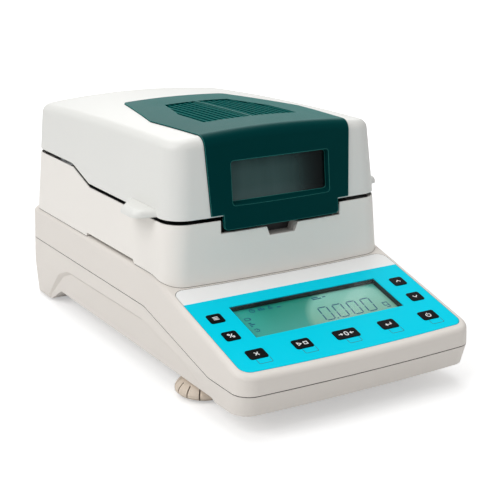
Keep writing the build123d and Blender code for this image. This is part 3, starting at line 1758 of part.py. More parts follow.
knee_radius = glass_radius - reflector_knee_inset
crown_under = lid_liner_top + reflector_crown_rise - reflector_sheet
with BuildPart() as reflector:
    add(
        turned(
            [
                (glass_radius - reflector_seat, lid_liner_top),
                (glass_radius + reflector_flange, lid_liner_top),
                (glass_radius + reflector_flange, lid_liner_top + reflector_sheet),
                (glass_radius, lid_liner_top + reflector_sheet),
                (knee_radius, lid_liner_top + reflector_knee_rise),
                (reflector_crown_radius, lid_liner_top + reflector_crown_rise),
                (reflector_hole, lid_liner_top + reflector_crown_rise),
                (reflector_hole, crown_under),
                (reflector_crown_radius - reflector_offset, crown_under),
                (knee_radius - reflector_sheet, lid_liner_top + reflector_knee_rise - reflector_offset),
                (glass_radius - reflector_foot, lid_liner_top + reflector_sheet),
                (glass_radius - reflector_seat, lid_liner_top + reflector_sheet),
            ],
            y=chamber_y,
        )
    )
    with BuildSketch(Plane.XY.offset(lid_liner_top - beyond)):
        with Locations((0, holder_y)):
            Rectangle(holder_width + 2 * reflector_cut, holder_length + 2 * reflector_cut)
    extrude(amount=crown_depth, mode=Mode.SUBTRACT)
finish(reflector, "reflector")

with BuildPart() as temperature_sensor:
    add(
        turned(
            [
                (0, sensor_tip),
                (sensor_radius, sensor_tip + sensor_point),
                (sensor_radius, lid_liner_top),
                (2 * sensor_radius, lid_liner_top),
                (2 * sensor_radius, lid_liner_top + sensor_collar),
                (0, lid_liner_top + sensor_collar),
            ],
            x=sensor_x,
            y=sensor_y,
        )
    )
finish(temperature_sensor, "temperature_sensor")

with BuildPart() as lid_screws:
    with BuildSketch(Plane.XY.offset(lid_liner_z - screw_head_height)):
        with Locations(*lid_screw_places):
            Circle(screw_head_radius)
            Rectangle(screw_slot_length, screw_slot_width, mode=Mode.SUBTRACT)
    extrude(amount=screw_head_height)
    with BuildSketch(Plane.XY.offset(lid_liner_z - beyond)):
        with Locations(*lid_screw_places):
            Circle(screw_radius)
    extrude(amount=lid_liner_top - lid_liner_z + screw_reach - screw_end_gap)
finish(lid_screws, "lid_screws")
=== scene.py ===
# %% [markdown]
# # Dressing a moisture analyzer
#
# The instrument is a small laboratory balance with a heated chamber on top. Its casings are moulded
# plastic, its lid has a dark green cover with a smoked window, and a bright printed film carries the
# keys and the display. The solids come from the CAD model, at their real size and place. This file
# gives them their finishes, adds what is only printed or shown on them, and sets the light.
#
# The first cell loads the solids, and part_box reads the box of one of them.

import json
import math

import bpy
import numpy as np
from mathutils import Matrix, Vector


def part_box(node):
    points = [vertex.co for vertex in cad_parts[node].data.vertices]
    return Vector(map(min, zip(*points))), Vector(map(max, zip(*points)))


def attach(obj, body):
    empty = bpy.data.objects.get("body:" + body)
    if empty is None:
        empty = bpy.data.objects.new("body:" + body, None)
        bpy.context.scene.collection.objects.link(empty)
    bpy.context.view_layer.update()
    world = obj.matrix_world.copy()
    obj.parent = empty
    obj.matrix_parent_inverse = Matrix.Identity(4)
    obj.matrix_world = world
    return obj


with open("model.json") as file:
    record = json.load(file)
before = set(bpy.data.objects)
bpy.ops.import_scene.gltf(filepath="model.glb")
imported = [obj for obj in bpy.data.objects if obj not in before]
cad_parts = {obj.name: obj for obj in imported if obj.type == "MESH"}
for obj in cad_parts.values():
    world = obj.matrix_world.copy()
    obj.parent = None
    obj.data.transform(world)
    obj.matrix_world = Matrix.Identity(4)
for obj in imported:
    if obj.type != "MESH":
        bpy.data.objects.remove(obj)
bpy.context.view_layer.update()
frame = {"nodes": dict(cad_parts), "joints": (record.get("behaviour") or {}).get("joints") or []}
nodes = frame["nodes"]
mm = 0.001

# %% [markdown]
# ## The camera
#
# A product picture is taken with a long lens from a little above the keypad. The lens and the place
# were found by matching some forty corners and edges of the real case. A camera could be aimed with a
# Track To constraint, but writing its axes as a matrix keeps the small roll of the picture as well:
# forward follows from two angles, right is level, and up stands on both.

# %% Camera at the picture's angle
lens_mm = 86.1
sensor_mm = 36.0
camera_place = Vector((-0.48336, -0.81772, 0.36161))
camera_yaw = math.radians(31.56)
camera_drop = math.radians(16.93)
camera_roll = math.radians(0.23)

forward = Vector((
    math.sin(camera_yaw) * math.cos(camera_drop),
    math.cos(camera_yaw) * math.cos(camera_drop),
    -math.sin(camera_drop),
))
level_right = forward.cross(Vector((0, 0, 1))).normalized()
level_up = level_right.cross(forward)
right = math.cos(camera_roll) * level_right + math.sin(camera_roll) * level_up
up = -math.sin(camera_roll) * level_right + math.cos(camera_roll) * level_up

camera = bpy.data.objects.new("camera", bpy.data.cameras.new("camera"))
camera.data.lens = lens_mm
camera.data.sensor_width = sensor_mm
camera.data.clip_start = 0.05
camera.data.clip_end = 50.0
axes = Matrix((right, up, -forward)).transposed()
camera.matrix_world = Matrix.Translation(camera_place) @ axes.to_4x4()
bpy.context.scene.collection.objects.link(camera)
bpy.context.scene.camera = camera
print("camera looks along", [round(x, 3) for x in forward])

# %% [markdown]
# ## Small node helpers
#
# A material is a net of nodes, and a few kinds come back in nearly every one. Each gets a function, so
# that the calls nest like a formula. An operand is a number, a colour or the output of another node.


# %% Numbers in nodes
def feed(tree, socket, value):
    """Links an output to the socket, or types a number or a colour into it."""
    if isinstance(value, bpy.types.NodeSocket):
        tree.links.new(value, socket)
    else:
        socket.default_value = value


def add_node(tree, kind, inputs=None):
    """A new shader node of that kind with inputs {name or number: value or output socket}."""
    node = tree.nodes.new("ShaderNode" + kind)
    for name, value in (inputs or {}).items():
        feed(tree, node.inputs[name], value)
    return node


def add_math(tree, operation, first, second=0.0):
    """One Math node. Each operand is a number or an output socket."""
    node = add_node(tree, "Math", {0: first, 1: second})
    node.operation = operation
    return node.outputs[0]


def vector_number(tree, operation, *vectors):
    """The number that a Vector Math node makes of vectors, such as LENGTH or DOT_PRODUCT."""
    node = add_node(tree, "VectorMath", dict(enumerate(vectors)))
    node.operation = operation
    return node.outputs["Value"]


def share_of(tree, value, low, high, to_low=0.0, to_high=1.0):
    """Goes from to_low to to_high while value goes from low to high, and is held at the ends."""
    ends = {"From Min": low, "From Max": high, "To Min": to_low, "To Max": to_high}
    return add_node(tree, "MapRange", {"Value": value, **ends}).outputs[0]


def object_places(tree):
    """The place of each point of the object, in metres. All objects share one origin."""
    return add_node(tree, "TexCoord").outputs["Object"]


def split(tree, vector):
    """The outputs X, Y and Z of a vector."""
    return add_node(tree, "SeparateXYZ", {0: vector}).outputs


print("helpers for numbers are ready")

# %% [markdown]
# Noise and colours get helpers too. A screen colour has to be made linear before a shader can add and
# multiply it.


# %% Noise and colours in nodes
def add_noise(tree, vector, scale, detail=2.0):
    """A noise texture on the given vector. Scale is in cells per metre."""
    noise = add_node(tree, "TexNoise", {"Vector": vector, "Scale": scale, "Detail": detail})
    return noise.outputs["Fac"]


def mix_colours(tree, factor, first, second):
    """Colour that goes from first to second with factor. A colour is a tuple or an output socket."""
    mix = tree.nodes.new("ShaderNodeMix")
    mix.data_type = "RGBA"
    for socket, value in (("Factor", factor), ("A", first), ("B", second)):
        feed(tree, mix.inputs[socket], value)
    return mix.outputs["Result"]


def add_ramp(tree, factor, stops):
    """A colour ramp with stops of (place, colour)."""
    ramp = add_node(tree, "ValToRGB", {0: factor})
    while len(ramp.color_ramp.elements) < len(stops):
        ramp.color_ramp.elements.new(0.5)
    for element, (place, colour) in zip(ramp.color_ramp.elements, stops):
        element.position = place
        element.color = colour
    return ramp.outputs["Color"]


def srgb(red, green, blue):
    """Linear colour of a screen colour given in 0 to 255: ((c + 0.055) / 1.055) to the power 2.4."""
    share = np.array((red, green, blue)) / 255.0
    linear = np.where(share <= 0.04045, share / 12.92, ((share + 0.055) / 1.055) ** 2.4)
    return (*linear.tolist(), 1.0)


print("screen grey 128 is", round(srgb(128, 128, 128)[0], 3), "in light")

# %% [markdown]
# ## Floor and light
#
# The picture is a studio shot on white, with a soft shadow. The floor is one large flat sheet. It is
# shown to the camera a little brighter than it is, so that it reads as white paper while the shadow
# stays, and the light on the object isn't raised for it. Far from the object the lift grows, as a
# backdrop has no shadow to keep. From below the sheet is clear, so that the underside can be seen.

# %% Floor
floor_half = 6.0
paper_white = (0.80, 0.80, 0.80, 1)
shadow_ends, backdrop_from = 0.5, 1.4
shadow_lift, backdrop_lift = 0.40, 0.95

floor_corners = [(floor_half * x, floor_half * y, 0) for x, y in ((-1, -1), (1, -1), (1, 1), (-1, 1))]
floor_mesh = bpy.data.meshes.new("floor")
floor_mesh.from_pydata(floor_corners, [], [(0, 1, 2, 3)])
floor = bpy.data.objects.new("floor", floor_mesh)
bpy.context.scene.collection.objects.link(floor)

paper = bpy.data.materials.new("paper")
paper.use_nodes = True
paper_tree = paper.node_tree
paper_tree.nodes.clear()
away_from_object = vector_number(paper_tree, "LENGTH", object_places(paper_tree))
lift = share_of(paper_tree, away_from_object, shadow_ends, backdrop_from, shadow_lift, backdrop_lift)
seen = add_node(paper_tree, "LightPath").outputs["Is Camera Ray"]
glow = add_node(paper_tree, "Emission", {"Strength": add_math(paper_tree, "MULTIPLY", seen, lift)})
sheet = add_node(paper_tree, "BsdfDiffuse", {"Color": paper_white})
lit_sheet = add_node(paper_tree, "AddShader", {0: sheet.outputs[0], 1: glow.outputs[0]})
below = add_node(paper_tree, "NewGeometry").outputs["Backfacing"]
clear = add_node(paper_tree, "BsdfTransparent").outputs[0]
sides = add_node(paper_tree, "MixShader", {0: below, 1: lit_sheet.outputs[0], 2: clear})
paper_tree.links.new(sides.outputs[0], add_node(paper_tree, "OutputMaterial").inputs["Surface"])
floor_mesh.materials.append(paper)
print("floor is", 2 * floor_half, "m wide")

# %% [markdown]
# The lamps are large and soft: one high on the left, one overhead, a weak one from the right so that
# the front faces keep their form, and one low behind, which the roof of the lid mirrors at a flat
# angle. The room round them is an even grey, and only the camera sees it as white.


# %% Lamps and surroundings
def soft_lamp(name, place, width, power):
    """A square area lamp at place, turned to face lit_middle: its -Z axis lies along the line there."""
    lamp = bpy.data.objects.new(name, bpy.data.lights.new(name, "AREA"))
    lamp.data.size = width
    lamp.data.energy = power
    lamp.location = place
    lamp.rotation_mode = "QUATERNION"
    lamp.rotation_quaternion = (lit_middle - Vector(place)).to_track_quat("-Z", "Y")
    bpy.context.scene.collection.objects.link(lamp)


lit_middle = Vector((0.0, 0.0, 0.10))
room_light, seen_light = 0.42, 1.3
soft_lamp("key_lamp", (-1.5, -0.3, 1.4), 1.3, 18.5)
soft_lamp("top_lamp", (0.1, 0.5, 1.9), 1.6, 15.5)
soft_lamp("fill_lamp", (1.1, -1.7, 0.9), 1.4, 3.8)
soft_lamp("back_lamp", (1.0, 1.63, 1.25), 1.4, 9.5)

world = bpy.data.worlds.new("studio")
bpy.context.scene.world = world
world.use_nodes = True
world_tree = world.node_tree
world_tree.nodes.clear()
world_seen = add_node(world_tree, "LightPath").outputs["Is Camera Ray"]
world_level = share_of(world_tree, world_seen, 0.0, 1.0, room_light, seen_light)
room = add_node(world_tree, "Background", {"Strength": world_level})
world_tree.links.new(room.outputs[0], add_node(world_tree, "OutputWorld").inputs["Surface"])
bpy.context.scene.view_settings.view_transform = "Standard"

# %% [markdown]
# ## Shared surface effects
#
# Three effects come back on many pieces, so each is a node group with its own sockets, built once.
# Moulded grain is the fine skin that a spark-eroded mould leaves: two noises of different size, one for
# the height and a slow one for the faint change of tone. Brushing is noise that is stretched along one
# axis. Crevice shade is painted shade in a parting line: ambient occlusion over a very short reach is 1
# on open faces and falls only inside narrow gaps, whatever side they are seen from, and there the
# colour goes darker.


# %% Moulded grain, brushing and crevice shade
def new_group(name, inputs, outputs):
    """A shader node group with float inputs {name: default} and outputs {name: socket type}."""
    group = bpy.data.node_groups.new(name, "ShaderNodeTree")
    for title, value in inputs.items():
        socket = group.interface.new_socket(title, in_out="INPUT", socket_type="NodeSocketFloat")
        socket.default_value = value
    for title, kind in outputs.items():
        group.interface.new_socket(title, in_out="OUTPUT", socket_type=kind)
    return group, group.nodes.new("NodeGroupInput"), group.nodes.new("NodeGroupOutput")


height_and_tone = {"Height": "NodeSocketFloat", "Tone": "NodeSocketFloat"}
grain_group, grain_in, grain_out = new_group(
    "moulded_grain", {"Grain Scale": 2600.0, "Tone Scale": 18.0}, height_and_tone
)
grain_place = object_places(grain_group)
fine = add_noise(grain_group, grain_place, grain_in.outputs["Grain Scale"], 3.0)
slow = add_noise(grain_group, grain_place, grain_in.outputs["Tone Scale"], 4.0)
grain_group.links.new(fine, grain_out.inputs["Height"])
grain_group.links.new(slow, grain_out.inputs["Tone"])

brush_group, brush_in, brush_out = new_group(
    "brushing", {"Along": 60.0, "Across": 5200.0}, height_and_tone
)
brush_place = object_places(brush_group)
brush_parts = split(brush_group, brush_place)
stretched = {
    axis: add_math(brush_group, "MULTIPLY", brush_parts[axis], brush_in.outputs[speed])
    for axis, speed in (("X", "Along"), ("Y", "Across"), ("Z", "Across"))
}
streaks = add_noise(brush_group, add_node(brush_group, "CombineXYZ", stretched).outputs[0], 1.0)
brush_group.links.new(streaks, brush_out.inputs["Height"])
brush_group.links.new(add_noise(brush_group, brush_place, 45.0, 3.0), brush_out.inputs["Tone"])

shut_in, in_the_open = 0.25, 0.55
# Painted shade for crevices: the colour darkens where ambient occlusion finds a narrow gap.
crevice_group, crevice_in, crevice_out = new_group(
    "crevice_shade", {"Reach": 0.0015}, {"Open": "NodeSocketFloat"}
)
occlusion = add_node(crevice_group, "AmbientOcclusion", {"Distance": crevice_in.outputs["Reach"]})
occlusion.samples = 8
openness = share_of(crevice_group, occlusion.outputs["AO"], shut_in, in_the_open)
crevice_group.links.new(openness, crevice_out.inputs["Open"])
print("groups", [group.name for group in bpy.data.node_groups])

# %% [markdown]
# ## Finishes
#
# Every finish is one Principled shader. A value that is the same all over the piece is typed into
# the shader's own socket. What changes over the surface comes from a group: tone mixes two near
# colours, height goes through a Bump node. One function covers plastics, rubber and coatings, and a
# second covers the metals.


# %% Finish functions
skin_depth, fine_depth = 0.04 * mm, 0.02 * mm


def new_material(name, roughness, metallic=0.0, coat=0.0, coat_roughness=0.1, specular=0.5, ior=1.5):
    """A material with one Principled shader, whose plain values are set on the shader's sockets."""
    material = bpy.data.materials.new(name)
    material.use_nodes = True
    shader = material.node_tree.nodes["Principled BSDF"]
    plain = {
        "Roughness": roughness, "Metallic": metallic, "Specular IOR Level": specular, "IOR": ior,
        "Coat Weight": coat, "Coat Roughness": coat_roughness,
    }
    for socket, value in plain.items():
        shader.inputs[socket].default_value = value
    return material, material.node_tree, shader


def add_bump(tree, shader, height, depth, edge=0.0):
    """Height in 0 to 1 becomes a bump of that depth in metres on the shader's normal.

    With an edge radius the normal turns smoothly over sharp edges, so that they catch a thin light.
    """
    bump = add_node(tree, "Bump", {"Height": height, "Distance": depth})
    if edge:
        bevel = add_node(tree, "Bevel", {"Radius": edge})
        bevel.samples = 6
        tree.links.new(bevel.outputs[0], bump.inputs["Normal"])
    tree.links.new(bump.outputs[0], shader.inputs["Normal"])


def add_group(tree, group, inputs=None):
    """A node that places a node group in the tree, with inputs {name: value}."""
    node = tree.nodes.new("ShaderNodeGroup")
    node.node_tree = group
    for name, value in (inputs or {}).items():
        feed(tree, node.inputs[name], value)
    return node


def spread(colour, amount):
    """The same colour made lighter and darker by a share, as a pair."""
    dark = tuple(c * (1 - amount) for c in colour[:3])
    light = tuple(min(1.0, c * (1 + amount)) for c in colour[:3])
    return (*dark, 1.0), (*light, 1.0)


def moulded(
    name, colour, roughness, grain_scale=2600.0, grain_depth=skin_depth, tone=0.03, gaps=None,
    edge=0.5 * mm, **plain
):
    """Moulded plastic, rubber or coating: faint slow tone, fine grain bump, roughness that follows it.

    With a gaps colour, narrow crevices go over to that colour as painted shade. Edges are rounded over
    edge metres.
    """
    material, tree, shader = new_material(name, roughness, **plain)
    grain = add_group(tree, grain_group, {"Grain Scale": grain_scale})
    dark, light = spread(colour, tone)
    skin = mix_colours(tree, grain.outputs["Tone"], dark, light)
    if gaps:
        skin = mix_colours(tree, add_group(tree, crevice_group).outputs["Open"], gaps, skin)
    smooth, dull = roughness - 0.05, roughness + 0.07
    rough = share_of(tree, grain.outputs["Tone"], 0.0, 1.0, smooth, dull)
    tree.links.new(skin, shader.inputs["Base Color"])
    tree.links.new(rough, shader.inputs["Roughness"])
    add_bump(tree, shader, grain.outputs["Height"], grain_depth, edge)
    return material


def brushed(name, colour, roughness, along=60.0, across=5200.0, tone=0.08):
    """Brushed metal: stretched noise gives the streaks, a slow noise the uneven sheen."""
    material, tree, shader = new_material(name, roughness, metallic=1.0)
    brush = add_group(tree, brush_group, {"Along": along, "Across": across})
    dark, light = spread(colour, tone)
    smooth, dull = roughness - 0.06, roughness + 0.10
    rough = share_of(tree, brush.outputs["Height"], 0.0, 1.0, smooth, dull)
    tree.links.new(mix_colours(tree, brush.outputs["Tone"], dark, light), shader.inputs["Base Color"])
    tree.links.new(rough, shader.inputs["Roughness"])
    add_bump(tree, shader, brush.outputs["Height"], fine_depth)
    return material


def dress(material, *names):
    """Gives each named solid the material in all its slots."""
    for name in names:
        mesh = nodes[name].data
        mesh.materials.clear()
        mesh.materials.append(material)


print("solids to dress", len(nodes))

# %% [markdown]
# The two casings differ: the base is a warm off-white, the chamber housing and the lid are cooler and a
# little lighter, and painted shade darkens their parting lines. The levelling wheels are beige, with
# painted shade in their grooves. All are satin, with a fine grain.

# %% Plastics of the casings
# gap_shade is the colour of the painted shade in parting lines and narrow crevices.
gap_shade = srgb(58, 48, 42)
base_plastic = moulded("base_plastic", srgb(233, 227, 220), 0.42, tone=0.012, gaps=gap_shade)
lid_plastic = moulded("lid_plastic", srgb(234, 234, 230), 0.38, tone=0.010, gaps=gap_shade)
housing_plastic = moulded("housing_plastic", srgb(244, 240, 234), 0.42, tone=0.010, gaps=gap_shade)
# The wheels' gaps colour is a browner painted shade in their grooves.
wheel_plastic = moulded("wheel_plastic", srgb(222, 207, 190), 0.5, tone=0.05, gaps=srgb(96, 70, 50))
black_plastic = moulded("black_plastic", srgb(28, 28, 30), 0.45, tone=0.1)
white_plastic = moulded("white_plastic", srgb(232, 232, 230), 0.4)
dress(base_plastic, "lower_case", "upper_case")
dress(lid_plastic, "lid_shell")
dress(housing_plastic, "chamber_housing")
dress(wheel_plastic, "left_foot_wheel", "right_foot_wheel")
dress(black_plastic, "mains_inlet", "fuse_holder", "switch_frame", "power_rocker")
dress(black_plastic, "display_bezel", "key_switches")
dress(white_plastic, "lcd_backlight")
print("casings dressed")

# %% [markdown]
# The lid cover is dark blue-green. Seen at a flat angle its roof reads much lighter than its front. A
# low index of refraction keeps the front deep, since the share it mirrors straight on is
# ((n - 1) / (n + 1)) squared, while the mirrored share at a flat angle stays high. A green sheen adds
# the colour that a fine matt skin scatters at such angles.

# %% Cover, coatings, rubber and ceramic
cover_green = moulded("cover_green", srgb(0, 49, 50), 0.36, grain_depth=0.03 * mm, tone=0.05, ior=1.15)
cover_tree = cover_green.node_tree
cover_shader = cover_tree.nodes["Principled BSDF"]
cover_skin = cover_shader.inputs["Base Color"].links[0].from_socket
cover_sheen = {
    "Sheen Weight": 0.6, "Sheen Roughness": 0.4, "Sheen Tint": srgb(0, 190, 180),
    "Specular Tint": (0.1, 1, 1, 1),
}
for socket, value in cover_sheen.items():
    cover_shader.inputs[socket].default_value = value
dark_coating = moulded("dark_coating", srgb(44, 44, 46), 0.55, grain_scale=1500.0, tone=0.12)
dark_rubber = moulded(
    "dark_rubber", srgb(36, 34, 33), 0.75, grain_scale=1800.0, grain_depth=0.06 * mm, tone=0.15
)
pale_ceramic = moulded("pale_ceramic", srgb(226, 220, 204), 0.7, grain_scale=1200.0, tone=0.05)
core_lacquer = moulded("core_lacquer", srgb(52, 50, 50), 0.4, tone=0.12)
dress(cover_green, "lid_cover")
dress(dark_coating, "chamber_liner", "lid_liner")
dress(dark_rubber, "left_foot_sole", "right_foot_sole", "rear_pads", "lid_buffers")
dress(pale_ceramic, "lamp_holders")
dress(core_lacquer, "transformer")
print("cover dressed")

# %% [markdown]
# The ribs between the vent grooves look deeper in colour than the roof round them: light that leaves
# one rib meets the next. That shade is painted: a mask over the two fields lowers the mirrored share
# there and deepens the green. The field's side runs straight to the bend, then leans in, so its half
# width is the smaller of two lines in y. The rib along the middle stays like the roof.

# %% Painted shade of the grooved fields
field_half, field_bend, field_lean = 42.5 * mm, 8.6 * mm, 0.264
field_front, field_rear = -32.0 * mm, 57.5 * mm
middle_rib_half = 2.0 * mm
roof_mirror, field_mirror = 0.5, 0.04


def cover_math(operation, first, second=0.0):
    """One Math node in the cover's material."""
    return add_math(cover_tree, operation, first, second)


cover_parts = split(cover_tree, object_places(cover_tree))
beside_middle = cover_math("ABSOLUTE", cover_parts["X"])
past_bend = cover_math("SUBTRACT", cover_parts["Y"], field_bend)
leaning_half = cover_math("SUBTRACT", field_half, cover_math("MULTIPLY", past_bend, field_lean))
in_field = cover_math("LESS_THAN", beside_middle, cover_math("MINIMUM", field_half, leaning_half))
for within in (
    cover_math("GREATER_THAN", beside_middle, middle_rib_half),
    cover_math("GREATER_THAN", cover_parts["Y"], field_front),
    cover_math("LESS_THAN", cover_parts["Y"], field_rear),
):
    in_field = cover_math("MULTIPLY", in_field, within)
mirror = share_of(cover_tree, in_field, 0.0, 1.0, roof_mirror, field_mirror)
cover_tree.links.new(mirror, cover_shader.inputs["Specular IOR Level"])
# Painted shade: inside the fields the green goes over to a deeper tone.
cover_with_field_shade = mix_colours(cover_tree, in_field, cover_skin, srgb(8, 68, 66))
print("fields are", round(2 * field_half / mm, 1), "mm wide in all")

# %% [markdown]
# The sharp edges of the cover catch the light as thin pale lines, and that highlight is painted into
# the colour. A bevelled normal turns away from the true one only near an edge, so the edge mask grows
# as their dot product falls.

# %% Painted highlights on the cover's edges
edge_width = 0.9 * mm
flat_match, edge_match, highlight_strength = 0.995, 0.92, 0.7
bevelled = add_node(cover_tree, "Bevel", {"Radius": edge_width})
bevelled.samples = 8
true_normal = add_node(cover_tree, "NewGeometry").outputs["Normal"]
match = vector_number(cover_tree, "DOT_PRODUCT", bevelled.outputs[0], true_normal)
edge_highlight_share = share_of(cover_tree, match, flat_match, edge_match, 0.0, highlight_strength)
outside_fields = cover_math("MULTIPLY", edge_highlight_share, cover_math("SUBTRACT", 1.0, in_field))
# Painted highlight: near an edge the cover goes over to a pale teal.
cover_edge_highlight = mix_colours(cover_tree, outside_fields, cover_with_field_shade, srgb(68, 138, 131))
cover_tree.links.new(cover_edge_highlight, cover_shader.inputs["Base Color"])
print("edges are pale over", round(edge_width / mm, 2), "mm")

# %% [markdown]
# The metals are few: a stainless shield and pan support, an aluminium pan and load cell, zinc-plated
# screws and hinge, a polished reflector and two brass bushes.

# %% Metals
stainless = brushed("stainless", srgb(196, 197, 198), 0.30)
satin_aluminium = brushed("satin_aluminium", srgb(214, 216, 218), 0.34, along=180.0, across=2600.0)
zinc = brushed("zinc", srgb(188, 190, 192), 0.38, along=400.0, across=900.0)
mirror_steel = brushed("mirror_steel", srgb(232, 232, 230), 0.10, along=30.0, across=900.0, tone=0.03)
turned_brass = brushed("turned_brass", srgb(206, 172, 96), 0.30, along=200.0, across=2400.0)
dress(stainless, "heat_shield", "pan_support", "pan_lifter", "hinge_pins", "temperature_sensor")
dress(satin_aluminium, "sample_pan", "draft_shield", "load_cell", "load_cell_base", "load_arm")
dress(zinc, "case_screws", "housing_screws", "lid_screws", "serial_port")
dress(zinc, "hinge_brackets", "lid_hinge_leaves")
dress(mirror_steel, "reflector")
dress(turned_brass, "foot_bushes")
print("metals dressed")

# %% [markdown]
# ## The keypad's own directions
#
# Film, keys and display lie on a slope. Everything printed there is easier to place in the slope's own
# directions: u across, v up the slope from the film's lower edge, w out of the panel. The slope is
# read from the direction in which a key travels, so the prints follow if the panel's angle changes.

# %% Panel directions and levels
press = next(j for j in frame["joints"] if j["name"] == "key_row_1_press")
out_of_panel = -np.array(press["axis"], float)
out_of_panel /= np.linalg.norm(out_of_panel)
across = np.array((1.0, 0.0, 0.0))
up_slope = np.cross(out_of_panel, across)
tilt = math.atan2(-out_of_panel[1], out_of_panel[2])


def vertices(name):
    """All vertex places of a solid, as an array of rows x, y, z."""
    mesh = nodes[name].data
    places = np.empty(3 * len(mesh.vertices))
    mesh.vertices.foreach_get("co", places)
    return places.reshape(-1, 3)


film_places = vertices("overlay_film")
panel_w = (film_places @ out_of_panel).max()
panel_v = (film_places @ up_slope).min()
panel_origin = panel_v * up_slope + panel_w * out_of_panel


def on_panel(places):
    """Rows of (u, v, w) in millimetres become places in metres: origin + u across + v up + w out."""
    u, v, w = np.split(np.asarray(places, float) * mm, 3, axis=-1)
    return panel_origin + u * across + v * up_slope + w * out_of_panel


def panel_span(name):
    """Lowest and highest u, v and w of a solid in the panel's directions, in millimetres."""
    local = (vertices(name) - panel_origin) @ np.stack((across, up_slope, out_of_panel)).T / mm
    return local.min(0), local.max(0)


key_names = sorted(name for name in nodes if name.startswith("key_") and name != "key_switches")
key_spans = {name: panel_span(name) for name in key_names}
film_span = [corner.round(1).tolist() for corner in panel_span("overlay_film")]
print("panel tilt", round(math.degrees(tilt), 2), "film span", film_span)

# %% [markdown]
# ## The printed film
#
# The film is a polyester sheet, printed on its back in bright blue with a white band along its upper
# edge. The print could be a picture laid on with UVs. A mask worked out from the place on the slope
# needs no picture and stays sharp: a Mapping node turns object places into u, v and w, and v
# above the band's edge is white.


# %% Film and key finishes
def panel_coordinates(tree):
    """Object places turned into the panel's u, v, w in metres, as the outputs X, Y and Z."""
    turn = {"Rotation": (-tilt, 0.0, 0.0), "Location": (0.0, -panel_v, -panel_w)}
    return split(tree, add_node(tree, "Mapping", {"Vector": object_places(tree), **turn}).outputs[0])


white_band_from = 89.2
film_blue = srgb(0, 216, 242)
film_white = srgb(249, 249, 248)
film_print, film_tree, film_shader = new_material("film_print", 0.34, ior=1.1)
film_uvw = panel_coordinates(film_tree)
in_band = add_math(film_tree, "GREATER_THAN", film_uvw["Y"], white_band_from * mm)
film_colour = mix_colours(film_tree, in_band, film_blue, film_white)
film_tree.links.new(film_colour, film_shader.inputs["Base Color"])
film_grain = add_group(film_tree, grain_group, {"Grain Scale": 3500.0})
add_bump(film_tree, film_shader, film_grain.outputs["Height"], fine_depth)
dress(film_print, "overlay_film")

key_black = moulded("key_black", srgb(6, 6, 7), 0.34, grain_depth=fine_depth, tone=0.1, ior=1.15)
dress(key_black, *key_names)
print("film dressed, band from", white_band_from, "mm up the slope")

# %% [markdown]
# ## The display
#
# A plain liquid-crystal display is a grey-green plate under a clear pane. The plate mirrors the room
# softly, so it is dark green near its upper left and pale to the right, where a bright round edge
# crosses it. That reflection is painted into the plate's colour: ramps on u and v give those zones, and
# the distance from a centre gives the edge.

# %% Display plate
glare_centre = (33.0, 34.0)
glare_inner, glare_outer = 44.0, 50.0
lcd_low, lcd_high = panel_span("display_window")
lcd_plate, lcd_tree, lcd_shader = new_material("lcd_plate", 0.32, coat=0.4, coat_roughness=0.08)
lcd_uvw = panel_coordinates(lcd_tree)
lcd_u = share_of(lcd_tree, lcd_uvw["X"], lcd_low[0] * mm, lcd_high[0] * mm)
lcd_v = share_of(lcd_tree, lcd_uvw["Y"], lcd_low[1] * mm, lcd_high[1] * mm)
lower_tones = [
    (0.0, srgb(77, 203, 186)), (0.40, srgb(100, 202, 186)), (0.55, srgb(122, 206, 186)),
    (1.0, srgb(96, 206, 186)),
]
upper_tones = [
    (0.0, srgb(59, 212, 195)), (0.22, srgb(28, 172, 150)), (0.45, srgb(40, 172, 148)),
    (1.0, srgb(96, 214, 196)),
]
# Painted reflection: the plate's tones change across and up the display.
lcd_lower, lcd_upper = (add_ramp(lcd_tree, lcd_u, tones) for tones in (lower_tones, upper_tones))
lcd_painted_reflection = mix_colours(lcd_tree, lcd_v, lcd_lower, lcd_upper)
from_centre = {
    axis: add_math(lcd_tree, "SUBTRACT", lcd_uvw[axis], centre * mm)
    for axis, centre in zip("XY", glare_centre)
}
glare_place = add_node(lcd_tree, "CombineXYZ", from_centre).outputs[0]
glare_reach = vector_number(lcd_tree, "LENGTH", glare_place)
in_glare = share_of(lcd_tree, glare_reach, glare_outer * mm, glare_inner * mm)
# Painted reflection: a brighter zone beyond the round edge.
painted_glare = add_ramp(lcd_tree, lcd_v, [(0.0, srgb(150, 212, 186)), (1.0, srgb(170, 254, 236))])
lcd_tree.links.new(mix_colours(lcd_tree, in_glare, lcd_painted_reflection, painted_glare), lcd_shader.inputs["Base Color"])
dress(lcd_plate, "lcd_glass")
print("display spans", lcd_low.round(1).tolist(), lcd_high.round(1).tolist())

# %% [markdown]
# A clear pane is nearly all opening seen straight on and mirrors at a flat angle. Its alpha rises with
# Fresnel, so that it does the same and what lies behind it is lit through it.


# %% Panes
def pane(name, colour, roughness, low_alpha, high_alpha):
    """A clear pane: alpha goes from low to high with the Fresnel share of an index of 1.5.

    Seen from inside the solid that share reaches 1, so it is multiplied by 1 - backfacing.
    """
    material, tree, shader = new_material(name, roughness, specular=1.0)
    shader.inputs["Base Color"].default_value = colour
    fresnel = add_node(tree, "Fresnel", {"IOR": 1.5}).outputs[0]
    behind = add_node(tree, "NewGeometry").outputs["Backfacing"]
    mirrored = add_math(tree, "MULTIPLY", fresnel, add_math(tree, "SUBTRACT", 1.0, behind))
    tree.links.new(share_of(tree, mirrored, 0.0, 1.0, low_alpha, high_alpha), shader.inputs["Alpha"])
    return material


clear_pane = pane("clear_pane", (0.02, 0.025, 0.025, 1), 0.05, 0.05, 0.9)
quartz = pane("quartz", (0.75, 0.75, 0.72, 1), 0.12, 0.45, 0.95)
dress(clear_pane, "display_window", "protective_glass")
dress(quartz, "halogen_lamp")
print("panes", clear_pane.name, quartz.name)
